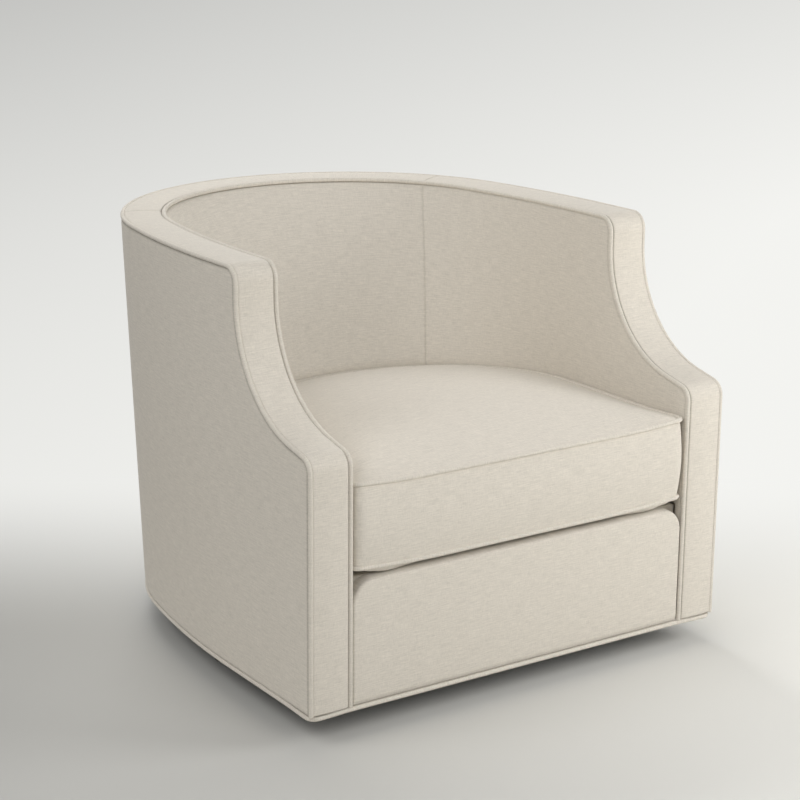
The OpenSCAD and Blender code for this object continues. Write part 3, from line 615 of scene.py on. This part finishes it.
def cushion_edge(share):
    """Place and outward angle on the cushion's outline: 0 is the middle of the front and 1 of the back."""
    left = share > 1
    if left:
        share = 2 - share
    run_front = cushion_half - CUSHION_CORNER_R
    run_corner = CUSHION_CORNER_R * math.pi / 2
    run_side = SEAT_START - cushion_front - CUSHION_CORNER_R
    run_arch = sum(seat.lengths(CUSHION_GAP))
    run = share * (run_front + run_corner + run_side + run_arch)
    if run < run_front:
        x, y, turn = run, cushion_front, -math.pi / 2
    elif run < run_front + run_corner:
        turn = (run - run_front) / CUSHION_CORNER_R - math.pi / 2
        x = run_front + CUSHION_CORNER_R * math.cos(turn)
        y = cushion_front + CUSHION_CORNER_R * (1 + math.sin(turn))
    elif run < run_front + run_corner + run_side:
        x, y, turn = cushion_half, cushion_front + CUSHION_CORNER_R + run - run_front - run_corner, 0
    else:
        turn = seat.turn_at(run - run_front - run_corner - run_side, CUSHION_GAP)
        x, y = seat.point(turn, CUSHION_GAP)
    return np.array((-x if left else x, y)), (math.pi - turn if left else turn)


CORNER_LIFT = 5 * MM
CORNER_LIFT_REACH = 70 * MM
FOOT_RISE = 12 * MM
FOOT_RISE_REACH = 42 * MM
FOOT_FULLNESS = 0.35
BACK_SINK = 9 * MM
CROWN_POWER = 5
BOXING_BULGE = 0.7
BOXING_POINTS = 15
CUSHION_POINTS = 240
CUSHION_WELT_POINTS = 300

# Rings of the lower and the upper face, as shares of the seam's outline
FOOT_RINGS = (0.3, 0.6, 0.8, 0.9)
CROWN_RINGS = (0.985, 0.96, 0.93, 0.89, 0.84, 0.77, 0.68, 0.55, 0.4, 0.2)


def near_corner(x, y, reach):
    """One at the cushion's front corners, falling off around them."""
    return math.exp(-(math.hypot(abs(x) - cushion_half, y - cushion_front) / reach) ** 2)


def corner_lift(x, y):
    """The stiff front corners stand a little higher than the edge between them."""
    return CORNER_LIFT * near_corner(x, y, CORNER_LIFT_REACH)


def upper_lift(x, y):
    """The upper edge also sinks toward the back."""
    back_share = min(1, max(0, (y - cushion_front) / (SEAT_APEX - cushion_front)))
    return corner_lift(x, y) - BACK_SINK * back_share ** 2


def edge_lift(x, y, z):
    """How far a level of the cushion is lifted. The foot is drawn up at the front corners."""
    if z < LOWER_WELT_Z:
        return FOOT_RISE * near_corner(x, y, FOOT_RISE_REACH) * (LOWER_WELT_Z - z) / CUSHION_FOOT
    up_share = min(1, (z - LOWER_WELT_Z) / (UPPER_WELT_Z - LOWER_WELT_Z))
    return corner_lift(x, y) * (1 - up_share) + upper_lift(x, y) * up_share


def cushion_form():
    """The cushion before it is stuffed: lower face, boxing and upper face."""
    heart = np.array((0, (cushion_front + SEAT_APEX) / 2))
    foot_share = CUSHION_FOOT / (SEAT_APEX - cushion_front) * 2
    foot_low = LOWER_WELT_Z - CUSHION_FOOT
    rows = [(k, foot_low, 0) for k in FOOT_RINGS]
    for a in np.linspace(0, math.pi / 2, TURN_POINTS)[:-1]:
        drawn_in = foot_share * (1 - math.sin(a) ** FOOT_FULLNESS)
        rows.append((1 - drawn_in, LOWER_WELT_Z - CUSHION_FOOT * math.cos(a) ** FOOT_FULLNESS, 0))
    rows += [(1, LOWER_WELT_Z + (UPPER_WELT_Z - LOWER_WELT_Z) * t, math.sin(math.pi * t))
             for t in np.linspace(0, 1, BOXING_POINTS)]
    rows += [(k, UPPER_WELT_Z + CUSHION_CROWN * (1 - k ** CROWN_POWER), 0) for k in CROWN_RINGS]
    count = CUSHION_POINTS
    edges = [cushion_edge(2 * i / count) for i in range(count)]
    verts = []
    for share, z, swell in rows:
        for at, turn in edges:
            out = np.array((math.cos(turn), math.sin(turn)))
            seam = at - WELT_IN * out
            if share < 1:
                place = heart + (seam - heart) * share
            else:
                place = seam + swell * (WELT_IN * BOXING_BULGE + CUSHION_SWELL * max(0, -out[1])) * out
            verts.append((place[0], place[1], z + edge_lift(place[0], place[1], z)))
    low = len(verts)
    verts.append((heart[0], heart[1], foot_low))
    verts.append((heart[0], heart[1], UPPER_WELT_Z + CUSHION_CROWN))
    faces = []
    for j in range(len(rows) - 1):
        for i in range(count):
            a, b = j * count + i, j * count + (i + 1) % count
            faces.append((a, b, b + count, a + count))
    faces += [(low, (i + 1) % count, i) for i in range(count)]
    top = (len(rows) - 1) * count
    faces += [(low + 1, top + i, top + (i + 1) % count) for i in range(count)]
    return new_object("cushion", verts, faces)


def welt_path(z):
    """The line of a cushion welt round the seam at a height."""
    path = []
    for i in range(CUSHION_WELT_POINTS):
        at, turn = cushion_edge(2 * i / CUSHION_WELT_POINTS)
        at = at - WELT_IN * np.array((math.cos(turn), math.sin(turn)))
        path.append((at[0], at[1], z + edge_lift(at[0], at[1], z)))
    return path


def select_only(obj):
    bpy.ops.object.select_all(action="DESELECT")
    obj.select_set(True)
    bpy.context.view_layer.objects.active = obj


def apply_modifiers(obj):
    select_only(obj)
    for modifier in list(obj.modifiers):
        bpy.ops.object.modifier_apply(modifier=modifier.name)


def remesh(obj, voxel):
    modifier = obj.modifiers.new("Remesh", "REMESH")
    modifier.mode = "VOXEL"
    modifier.voxel_size = voxel
    modifier.use_smooth_shade = True
    apply_modifiers(obj)


def vertex_places(obj):
    places = np.zeros(len(obj.data.vertices) * 3)
    obj.data.vertices.foreach_get("co", places)
    return places.reshape(-1, 3)


def set_places(obj, places):
    obj.data.vertices.foreach_set("co", np.asarray(places, float).ravel())
    obj.data.update()


# How the cushion is stuffed
VOXEL = 6 * MM
SEAM_NEAR = 8 * MM
SEAM_HIGH = 5 * MM
SEAM_CHECKS = 160
PRESSURE = 3.5
STUFF_FRAMES = 20
STUFF_MOST = 9 * MM
CLOTH = {"tension_stiffness": 25, "compression_stiffness": 18, "shear_stiffness": 12,
         "bending_stiffness": 0.8, "quality": 4}
SIDE_BULGE = 0.4 * MM
DECK_CLEAR = 0.3 * MM
FRONT_BULGE = 4 * MM
SMOOTH_SHARE = 0.5
SMOOTH_ROUNDS = 3
LEVEL_ABOVE = 0.62


def stuff(obj, pins):
    """Stuffs a closed form with the cloth solver, holding its seams, and applies the result."""
    before = vertex_places(obj)
    group = obj.vertex_groups.new(name="seams")
    for index in np.nonzero(pins)[0]:
        group.add([int(index)], 1.0, "REPLACE")
    modifier = obj.modifiers.new("Cloth", "CLOTH")
    settings = modifier.settings
    settings.use_pressure = True
    settings.uniform_pressure_force = PRESSURE
    settings.vertex_group_mass = "seams"
    settings.effector_weights.gravity = 0
    for key, value in CLOTH.items():
        setattr(settings, key, value)
    modifier.collision_settings.use_collision = False
    modifier.point_cache.frame_start = 1
    modifier.point_cache.frame_end = STUFF_FRAMES
    scene = bpy.context.scene
    for number in range(1, STUFF_FRAMES + 1):
        scene.frame_set(number)
    apply_modifiers(obj)
    scene.frame_set(1)
    move = vertex_places(obj) - before
    size = np.linalg.norm(move, axis=1)
    move *= np.minimum(1, STUFF_MOST / np.maximum(size, TINY))[:, None]
    set_places(obj, before + move)


def flat_uvs(obj):
    """Lays the weave on a stuffed piece: by X and Y where it looks up or down, and by height on its sides."""
    mesh = obj.data
    layer = mesh.uv_layers.get("UVMap") or mesh.uv_layers.new(name="UVMap")
    places = vertex_places(obj)
    uvs = np.zeros((len(mesh.loops), 2), np.float32)
    for face in mesh.polygons:
        level = abs(face.normal.z) > LEVEL_ABOVE
        across = abs(face.normal.x) > abs(face.normal.y)
        for loop in face.loop_indices:
            x, y, z = places[mesh.loops[loop].vertex_index]
            if level:
                uvs[loop] = (x, y)
            elif across:
                uvs[loop] = (y, z)
            else:
                uvs[loop] = (x, z)
    layer.data.foreach_set("uv", uvs.ravel())


def shade_smooth(obj):
    for face in obj.data.polygons:
        face.use_smooth = True


def cushion():
    obj = cushion_form()
    remesh(obj, VOXEL)
    places = vertex_places(obj)
    outline = [tuple(cushion_edge(2 * i / SEAM_CHECKS)[0]) for i in range(SEAM_CHECKS)]
    rim_distance = edge_distance(places[:, :2], outline)
    lows = np.array([corner_lift(x, y) for x, y, z in places]) + LOWER_WELT_Z
    highs = np.array([upper_lift(x, y) for x, y, z in places]) + UPPER_WELT_Z
    at_seam = np.minimum(abs(places[:, 2] - lows), abs(places[:, 2] - highs))
    pins = (rim_distance < SEAM_NEAR) & (at_seam < SEAM_HIGH)
    stuff(obj, pins)
    places = vertex_places(obj)
    places[:, 0] = np.clip(places[:, 0], -cushion_half - SIDE_BULGE, cushion_half + SIDE_BULGE)
    places[:, 2] = np.maximum(places[:, 2], DECK_H + DECK_CLEAR)
    places[:, 1] = np.maximum(places[:, 1], cushion_front - CUSHION_SWELL - FRONT_BULGE)
    set_places(obj, places)
    smooth = obj.modifiers.new("Smooth", "SMOOTH")
    smooth.factor = SMOOTH_SHARE
    smooth.iterations = SMOOTH_ROUNDS
    subdivide = obj.modifiers.new("Subdivision", "SUBSURF")
    subdivide.levels = 1
    apply_modifiers(obj)
    flat_uvs(obj)
    shade_smooth(obj)
    return obj


def skirt(obj, axis, place):
    """Carries the open edge of a cover along one axis to a plane."""
    mesh = bmesh.new()
    mesh.from_mesh(obj.data)
    open_edges = [edge for edge in mesh.edges if edge.is_boundary]
    made = bmesh.ops.extrude_edge_only(mesh, edges=open_edges)["geom"]
    for vert in made:
        if isinstance(vert, bmesh.types.BMVert):
            vert.co[axis] = place
    bmesh.ops.recalc_face_normals(mesh, faces=mesh.faces)
    mesh.to_mesh(obj.data)
    mesh.free()
    shade_smooth(obj)


# Front panel, deck and dust cover
PANEL_SOFT_R = 4 * MM
PANEL_SIDE_R = 3.5 * MM
PANEL_CORNER_R = 42 * MM
PANEL_SWELL_OUT = 2.5 * MM
PANEL_CROWN = 2.2 * MM
PANEL_CROWN_REACH = 45 * MM
PANEL_TURN_POINTS = 14
DECK_GAP = 1 * MM
DECK_UNDER = 0.2 * MM
DECK_POINTS = 40
DUST_INSET = 9 * MM
DUST_HOLE_R = 110 * MM
DUST_SAG = 3 * MM
DUST_POINTS = 14
DUST_BOW_POINTS = 10
DUST_BACK_POINTS = 40
DUST_RINGS = 9


def front_panel():
    """A flat panel with round upper corners, a soft edge and its sides carried back."""
    low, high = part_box("front_panel")
    corner = PANEL_CORNER_R
    half = high.x + PANEL_SWELL_OUT
    right = arc((half - corner, high.z - corner), corner, math.pi / 2, 0, PANEL_TURN_POINTS)
    right.append((half, low.z))
    outline, flat, faces = flat_mesh([(-x, z) for x, z in right[::-1]] + right)
    distance = edge_distance(flat, [p for p in outline if p[1] > low.z + MERGE])
    near_top = np.clip((flat[:, 1] - high.z + corner) / corner, 0, 1)
    radius = PANEL_SIDE_R + (PANEL_SOFT_R - PANEL_SIDE_R) * near_top
    soft = np.clip(radius - distance, 0, radius)
    back = radius - np.sqrt(radius ** 2 - soft ** 2)
    swell = PANEL_CROWN * (1 - np.exp(-distance / PANEL_CROWN_REACH))
    verts = []
    for (x, z), inward, out in zip(flat, back, swell):
        verts.append((x, low.y + inward - out + seam_sink(z - low.z, HEM_SHARE), z))
    obj = new_object("front_cover", verts, faces, flat)
    # Painted shade along the panel's edge and its hem, darkening the colour
    paint_seam_shade(obj, seam_painted_shade(distance, INSIDE_SHARE) + seam_painted_shade(flat[:, 1] - low.z, HEM_SHARE))
    skirt(obj, 1, high.y)
    return obj


def deck():
    low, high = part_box("deck_pad")
    outline = [(-INNER_HALF + DECK_GAP, low.y), (INNER_HALF - DECK_GAP, low.y)]
    runs = np.linspace(0, sum(seat.lengths(DECK_GAP)), DECK_POINTS)
    outline += mirrored([seat.point(seat.turn_at(run, DECK_GAP), DECK_GAP) for run in runs])

    def place(x, y):
        return np.array((x, y, high.z - DECK_UNDER)), np.array((0, 0, 1.0))
    obj = cloth_panel("deck_cover", outline, place, edge=INSIDE_SHARE)
    skirt(obj, 2, low.z)
    return obj


def dust_cover():
    """Thin black cloth stretched under the frame, round the swivel, sagging a little between its fixings."""
    low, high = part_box("dust_cover")
    half = HALF_W - DUST_INSET
    right = [(x, low.y) for x in np.linspace(0, half, DUST_POINTS)[:-1]]
    right += [(half, y) for y in np.linspace(low.y, on_rake(PLAN_START, low.z), DUST_POINTS)[:-1]]
    for turn in barrel_turns(DUST_BOW_POINTS, DUST_BACK_POINTS):
        x, y = barrel.point(turn, DUST_INSET)
        right.append((x, on_rake(y, low.z)))
    edge = np.array(mirrored(right)[:-1])
    round_hole = edge * (DUST_HOLE_R / np.linalg.norm(edge, axis=1))[:, None]
    shares = np.linspace(0, 1, DUST_RINGS)
    rows = []
    for share in shares:
        sag = DUST_SAG * math.sin(math.pi * share)
        rows.append([(x, y, high.z - sag) for x, y in round_hole * (1 - share) + edge * share])
    return strip("dust_sheet", rows, shares, closed=True)


# Materials
SRGB_MOST = 255
SRGB_OFFSET = 0.055
SRGB_POWER = 2.4


def shade(red, green, blue):
    """A colour written as it shows on the screen, from 0 to 255, as the shader wants it."""
    shown = [c / SRGB_MOST for c in (red, green, blue)]
    return tuple(((c + SRGB_OFFSET) / (1 + SRGB_OFFSET)) ** SRGB_POWER for c in shown) + (1,)


def toned(colour, share):
    return tuple(min(1, c * share) for c in colour[:3]) + (1,)


def set_input(tree, socket, value):
    """Sets a shader's input to a value, or links it to another node's output."""
    if isinstance(value, bpy.types.NodeSocket):
        tree.links.new(value, socket)
    else:
        socket.default_value = value


def add_node(tree, kind, inputs=None, **settings):
    node = tree.nodes.new("ShaderNode" + kind)
    for key, value in settings.items():
        setattr(node, key, value)
    for key, value in (inputs or {}).items():
        set_input(tree, node.inputs[key], value)
    return node


def calculate(tree, kind, *values):
    """The result of a sum on one to three values."""
    return add_node(tree, "Math", dict(enumerate(values)), operation=kind).outputs[0]


def scaled(tree, vector, share):
    return add_node(tree, "VectorMath", {0: vector, "Scale": share}, operation="SCALE").outputs[0]


def two_tones(tree, value, low, high, dark, light):
    """Runs from a dark to a light colour as the value goes from low to high."""
    ramp = add_node(tree, "ValToRGB", {"Fac": value})
    for element, position, colour in zip(ramp.color_ramp.elements, (low, high), (dark, light)):
        element.position = position
        element.color = colour
    return ramp.outputs["Color"]


def add_bump(tree, shader, height, strength, distance):
    bump = add_node(tree, "Bump", {"Height": height, "Strength": strength, "Distance": distance})
    tree.links.new(bump.outputs["Normal"], shader.inputs["Normal"])


def material(name, colour, roughness, more=None):
    """A material of one colour. more names further inputs of its shader."""
    made = bpy.data.materials.new(name)
    made.use_nodes = True
    shader = made.node_tree.nodes["Principled BSDF"]
    for key, value in {"Base Color": colour, "Roughness": roughness, **(more or {})}.items():
        shader.inputs[key].default_value = value
    return made, made.node_tree, shader


# Each kind of thread: repeats a metre across and along, detail, place in the noise and share of the tone
THREADS = (
    (900, 130, 2, 3, 0.24),
    (110, 900, 2, 7, 0.26),
    (34, 560, 1, 11, 0.30),
    (560, 60, 1, 13, 0.14),
)
CLOUDING = (40, 40, 2, 17, 0.05)
THREAD_SHARE = 1.01
NOISE_SLANT = 0.37
NOISE_ROUGHNESS = 0.6
TONE_LOW = 0.3
TONE_HIGH = 0.7
TONE_DARK = 0.83
TONE_LIGHT = 1.13
# How much the painted seam shade darkens the linen's colour
PAINTED_SEAM_SHADOW = 0.6
LINEN_GLOSS = {"Sheen Weight": 0.12, "Sheen Roughness": 0.5, "Specular IOR Level": 0.15}
LINEN_ROUGHNESS = 0.92
LINEN_BUMP = 0.35
LINEN_DEPTH = 0.6 * MM


def linen(name, colour):
    """Fine woven linen: long thin slubs along both threads over a plain weave, with painted shade darkening
    its colour along its seams.
    """
    made, tree, shader = material(name, colour, LINEN_ROUGHNESS, LINEN_GLOSS)
    place = add_node(tree, "UVMap", uv_map="UVMap").outputs["UV"]

    def streaks(across, along, detail, seed, share):
        mapping = add_node(tree, "Mapping", {"Vector": place, "Scale": (across, along, 1),
                                             "Location": (seed, seed * NOISE_SLANT, 0)})
        noise = add_node(tree, "TexNoise", {"Vector": mapping.outputs["Vector"], "Scale": 1, "Detail": detail,
                                            "Roughness": NOISE_ROUGHNESS}, noise_dimensions="2D")
        return calculate(tree, "MULTIPLY", noise.outputs["Fac"], share)

    threads = streaks(*THREADS[0])
    for thread in THREADS[1:]:
        threads = calculate(tree, "ADD", threads, streaks(*thread))
    tone = calculate(tree, "MULTIPLY_ADD", threads, THREAD_SHARE, streaks(*CLOUDING))
    weave = two_tones(tree, tone, TONE_LOW, TONE_HIGH, toned(colour, TONE_DARK), toned(colour, TONE_LIGHT))
    # The seam attribute holds painted shade that darkens the colour along the seams
    seam = add_node(tree, "Attribute", attribute_name="seam").outputs["Fac"]
    kept = calculate(tree, "SUBTRACT", 1, calculate(tree, "MULTIPLY", seam, PAINTED_SEAM_SHADOW))
    tree.links.new(scaled(tree, weave, kept), shader.inputs["Base Color"])
    add_bump(tree, shader, threads, LINEN_BUMP, LINEN_DEPTH)
    return made


GRAIN = (60, 60, 4)
GRAIN_DETAIL = 4
GRAIN_LOW = 0.35
GRAIN_HIGH = 0.65
GRAIN_DARK = 0.7
WOOD_ROUGHNESS = 0.7


def timber(name, colour):
    """Sawn softwood with long grain."""
    made, tree, shader = material(name, colour, WOOD_ROUGHNESS)
    place = add_node(tree, "TexCoord").outputs["Object"]
    mapping = add_node(tree, "Mapping", {"Vector": place, "Scale": GRAIN})
    grain = add_node(tree, "TexNoise", {"Vector": mapping.outputs["Vector"], "Scale": 1,
                                        "Detail": GRAIN_DETAIL})
    dark = toned(colour, GRAIN_DARK)
    wood_tone = two_tones(tree, grain.outputs["Fac"], GRAIN_LOW, GRAIN_HIGH, dark, colour)
    tree.links.new(wood_tone, shader.inputs["Base Color"])
    return made


FINISH_SCALE = 900
FINISH_BUMP = 0.15
FINISH_DEPTH = 0.1 * MM


def hard_finish(name, colour, roughness, metallic):
    """Steel, plastic or close cloth with a faint uneven finish."""
    made, tree, shader = material(name, colour, roughness, {"Metallic": metallic})
    place = add_node(tree, "TexCoord").outputs["Object"]
    noise = add_node(tree, "TexNoise", {"Vector": place, "Scale": FINISH_SCALE})
    add_bump(tree, shader, noise.outputs["Fac"], FINISH_BUMP, FINISH_DEPTH)
    return made


def dress(obj, made):
    obj.data.materials.clear()
    obj.data.materials.append(made)


LINEN = shade(217, 210, 198)
linen_cloth = linen("Linen", LINEN)
linen_piping = linen("Linen piping", LINEN)
deck_cloth = linen("Deck cloth", shade(190, 182, 168))
wood = timber("Softwood", shade(196, 166, 122))
black_steel = hard_finish("Black painted steel", shade(28, 28, 29), 0.45, 0.0)
spring_steel = hard_finish("Spring steel", shade(92, 92, 95), 0.4, 0.9)
bright_steel = hard_finish("Zinc plated steel", shade(190, 190, 194), 0.3, 1.0)
black_plastic = hard_finish("Black plastic", shade(20, 20, 21), 0.55, 0.0)
cage_plastic = hard_finish("Nylon", shade(214, 206, 184), 0.5, 0.0)
dust_cloth = hard_finish("Dust cover cloth", shade(24, 24, 25), 0.95, 0.0)


def place_piece(obj, made, body, nodes):
    """Puts a made piece on its body, in place of the solids that it stands for."""
    dress(obj, made)
    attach(obj, body)
    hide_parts(*nodes)


# The chair's pieces
cover_right = outside_side()
cover_left = mirror_object(cover_right, "outside_cover_left")
place_piece(cover_right, linen_cloth, "seat", ["outside_right"])
place_piece(cover_left, linen_cloth, "seat", ["outside_left"])
place_piece(outside_back(), linen_cloth, "seat", ["outside_back"])
place_piece(border(), linen_cloth, "seat", ["band_left", "band_right", "band_back"])
pad_right = inside_side()
pad_left = mirror_object(pad_right, "inside_cover_left")
place_piece(pad_right, linen_cloth, "seat", ["inside_right"])
place_piece(pad_left, linen_cloth, "seat", ["inside_left"])
place_piece(inside_back(), linen_cloth, "seat", ["inside_back"])
place_piece(front_panel(), linen_cloth, "seat", ["front_panel"])
place_piece(deck(), deck_cloth, "seat", ["deck_pad"])
dust = dust_cover()
place_piece(dust, dust_cloth, "seat", ["dust_cover"])

outer = tube("welt_outer", mirrored(edge_path(WELT_IN, WELT_IN)), WELT_R, first_up=(0, -1, 0))
place_piece(outer, linen_piping, "seat", ["outer_welt"])
inner = tube("welt_inner", mirrored(edge_path(BAND_W - WELT_IN, WELT_IN)), WELT_R, first_up=(0, -1, 0))
place_piece(inner, linen_piping, "seat", ["inner_welt"])


HEM_TURN = 17 * MM
HEM_DROOP = 2 * MM
HEM_DROOP_REACH = 40 * MM
HEM_FRONT_POINTS = 50
HEM_TURN_POINTS = 7
HEM_SIDE_POINTS = 24
HEM_BOW_POINTS = 20
HEM_BACK_POINTS = 60


def hem_path():
    """The hem goes round the front corners in a soft turn and hangs a little there."""
    z = HEM_H + WELT_R
    corner = (HALF_W - HEM_TURN, FRONT_Y + HEM_TURN)
    path = [(x, FRONT_Y + WELT_IN) for x in np.linspace(0, corner[0], HEM_FRONT_POINTS)[:-1]]
    path += arc(corner, HEM_TURN - WELT_IN, -math.pi / 2, 0, HEM_TURN_POINTS)[:-1]
    start = on_rake(PLAN_START, z)
    path += [(HALF_W - WELT_IN, y) for y in np.linspace(corner[1], start, HEM_SIDE_POINTS)[:-1]]
    for turn in barrel_turns(HEM_BOW_POINTS, HEM_BACK_POINTS):
        x, y = barrel.point(turn, WELT_IN)
        path.append((x, on_rake(y, z)))
    hung = []
    for x, y in path:
        from_corner = math.hypot(x - corner[0], y - corner[1])
        hung.append((x, y, z - HEM_DROOP * math.exp(-(from_corner / HEM_DROOP_REACH) ** 2)))
    return mirrored(hung)[:-1]


place_piece(tube("welt_hem", hem_path(), WELT_R, closed=True), linen_piping, "seat", ["hem_welt"])
place_piece(cushion(), linen_cloth, "cushion", ["seat_cushion"])
place_piece(tube("welt_cushion_upper", welt_path(UPPER_WELT_Z), WELT_R, closed=True), linen_piping,
            "cushion", ["cushion_welt_upper"])
place_piece(tube("welt_cushion_lower", welt_path(LOWER_WELT_Z), WELT_R, closed=True), linen_piping,
            "cushion", ["cushion_welt_lower"])

NODE_MATERIALS = {
    "timber": wood, "base_steel": black_steel, "dark_steel": spring_steel, "bright_steel": bright_steel,
    "glide_plastic": black_plastic, "cage_plastic": cage_plastic,
}
for entry in frame["record"]["subparts"]:
    if entry["material_slot"] in NODE_MATERIALS:
        dress(frame["nodes"][entry["node"]], NODE_MATERIALS[entry["material_slot"]])

# Floor and backdrop
FLOOR_REACH = 9.0
FLOOR_TURN = math.radians(-34)
# The floor's colour is painted darker to the left and brighter to the right: painted fall-off of the light
FLOOR_LEVEL = 0.91
FLOOR_SLOPE = 0.30
FLOOR_ROUGHNESS = 0.9
COVE_R = 2.0
COVE_START = 0.05
COVE_POINTS = 24
WALL_Y = 5.5
# The wall's glow is painted brighter toward the lower right, as painted light
WALL_LEVEL = 0.90
WALL_SLOPES = (0.065, -0.024, -0.2)
WALL_MOST = 0.9
WALL_TINT = (1.0, 1.0, 0.97)
WALL_FROM = -0.2
WALL_FULL = 0.75
ROUND_FROM = 1.2
ROUND_FULL = 2.2


def seen_rays(tree):
    """One for rays that show the background: from the camera, by a reflection or through glass."""
    path = add_node(tree, "LightPath").outputs
    clear = calculate(tree, "MAXIMUM", path["Is Glossy Ray"], path["Is Transmission Ray"])
    return calculate(tree, "MAXIMUM", path["Is Camera Ray"], clear)


def backdrop(colour):
    """A pale floor, with painted light fall-off darker to the left and brighter to the right, that a camera
    sees run into a wall whose glow is painted brighter toward its lower right.
    """
    made, tree, shader = material("Pale floor", colour, FLOOR_ROUGHNESS)
    place = add_node(tree, "TexCoord").outputs["Object"]
    parts = add_node(tree, "SeparateXYZ", {0: place}).outputs

    def graded(start, *slopes):
        """A start value plus each coordinate times its slope."""
        value = start
        for part, slope in zip(parts, slopes):
            value = calculate(tree, "MULTIPLY_ADD", part, slope, value)
        return value

    def reached(value, low, high):
        """Goes smoothly from nothing to one between two values."""
        limits = {"Value": value, "From Min": low, "From Max": high}
        return add_node(tree, "MapRange", limits, interpolation_type="SMOOTHSTEP").outputs["Result"]

    # Painted light fall-off: the floor's colour grows brighter to the right
    floor_painted_falloff = scaled(tree, colour[:3], graded(FLOOR_LEVEL, FLOOR_SLOPE))
    tree.links.new(floor_painted_falloff, shader.inputs["Base Color"])
    # Painted light: the wall's glow is graded brighter toward the lower right
    wall = calculate(tree, "MINIMUM", graded(WALL_LEVEL, *WALL_SLOPES), WALL_MOST)
    glow = add_node(tree, "Emission", {"Color": scaled(tree, WALL_TINT, wall)})
    away = add_node(tree, "VectorMath", {0: place}, operation="LENGTH").outputs["Value"]
    behind = reached(parts[1], WALL_FROM, WALL_FULL)
    far = calculate(tree, "MAXIMUM", behind, reached(away, ROUND_FROM, ROUND_FULL))
    share = calculate(tree, "MULTIPLY", far, seen_rays(tree))
    mix = add_node(tree, "MixShader", {0: share, 1: shader.outputs[0], 2: glow.outputs[0]})
    tree.links.new(mix.outputs[0], tree.nodes["Material Output"].inputs["Surface"])
    return made


profile = [(-FLOOR_REACH, 0), (WALL_Y - COVE_R, 0)]
profile += arc((WALL_Y - COVE_R, COVE_R), COVE_R, COVE_START - math.pi / 2, 0, COVE_POINTS)
profile.append((WALL_Y, FLOOR_REACH))
rows = [[(x, y, z) for y, z in profile] for x in (-FLOOR_REACH, FLOOR_REACH)]
floor = strip("floor", rows, (0, 1))
dress(floor, backdrop(shade(214, 213, 208)))
floor.rotation_euler = (0, 0, FLOOR_TURN)

# Light. Each lamp has its place, the width of its square and its power
AIM = (0, 0, 0.35)
LAMPS = {
    "Right front": ((1.7, -1.7, 1.3), 1.2, 29),
    "Front": ((0.2, -2.8, 1.3), 1.4, 14),
    "Left front": ((-1.6, -1.8, 1.8), 1.2, 10),
    "Left above": ((-2.4, 0, 2.6), 1.4, 17),
    "Behind": ((0.4, 2.2, 2.1), 1.4, 40),
    "Above": ((0.4, 0, 3.0), 2.0, 6),
}
for name, (place, size, power) in LAMPS.items():
    lamp = bpy.data.lights.new(name, "AREA")
    lamp.shape = "SQUARE"
    lamp.size = size
    lamp.energy = power
    holder = bpy.data.objects.new(name, lamp)
    holder.location = place
    holder.rotation_euler = (Vector(AIM) - Vector(place)).to_track_quat("-Z", "Y").to_euler()
    bpy.context.scene.collection.objects.link(holder)

ROOM_EVEN = 0.04
ROOM_FACING = 0.58
ROOM_WAY = (-1, 0, 0.25)
ROOM_SEEN = 0.88


def soft_room():
    """A room with an even glow, brighter toward one side. What shows the background sees it evenly pale."""
    world = bpy.data.worlds.new("Soft room")
    bpy.context.scene.world = world
    world.use_nodes = True
    tree = world.node_tree
    place = add_node(tree, "TexCoord").outputs["Generated"]
    facing = add_node(tree, "VectorMath", {0: place, 1: ROOM_WAY}, operation="DOT_PRODUCT").outputs["Value"]
    glow = calculate(tree, "MULTIPLY_ADD", calculate(tree, "MAXIMUM", facing, 0), ROOM_FACING, ROOM_EVEN)
    shown = add_node(tree, "Mix", {"Factor": seen_rays(tree), "A": glow, "B": ROOM_SEEN})
    background = tree.nodes["Background"]
    background.inputs["Color"].default_value = (1, 1, 1, 1)
    tree.links.new(shown.outputs["Result"], background.inputs["Strength"])


soft_room()

# Camera, from the photograph
AZIMUTH = math.radians(-34.07)
ELEVATION = math.radians(16.08)
ROLL = math.radians(0.49)
CAMERA_PLACE = (-2.10035, -3.2089, 1.5041)
FOCAL_MM = 97.96
SENSOR_MM = 36
back = Vector((math.sin(AZIMUTH) * math.cos(ELEVATION), -math.cos(AZIMUTH) * math.cos(ELEVATION),
               math.sin(ELEVATION)))
right = Vector((math.cos(AZIMUTH), math.sin(AZIMUTH), 0))
up = back.cross(right)
right, up = (right * math.cos(ROLL) + up * math.sin(ROLL), up * math.cos(ROLL) - right * math.sin(ROLL))
camera_data = bpy.data.cameras.new("Camera")
camera_data.lens = FOCAL_MM
camera_data.sensor_width = SENSOR_MM
camera = bpy.data.objects.new("Camera", camera_data)
camera.matrix_world = Matrix.Translation(CAMERA_PLACE) @ Matrix((right, up, back)).transposed().to_4x4()
bpy.context.scene.collection.objects.link(camera)
bpy.context.scene.camera = camera
bpy.context.scene.view_settings.view_transform = "Standard"
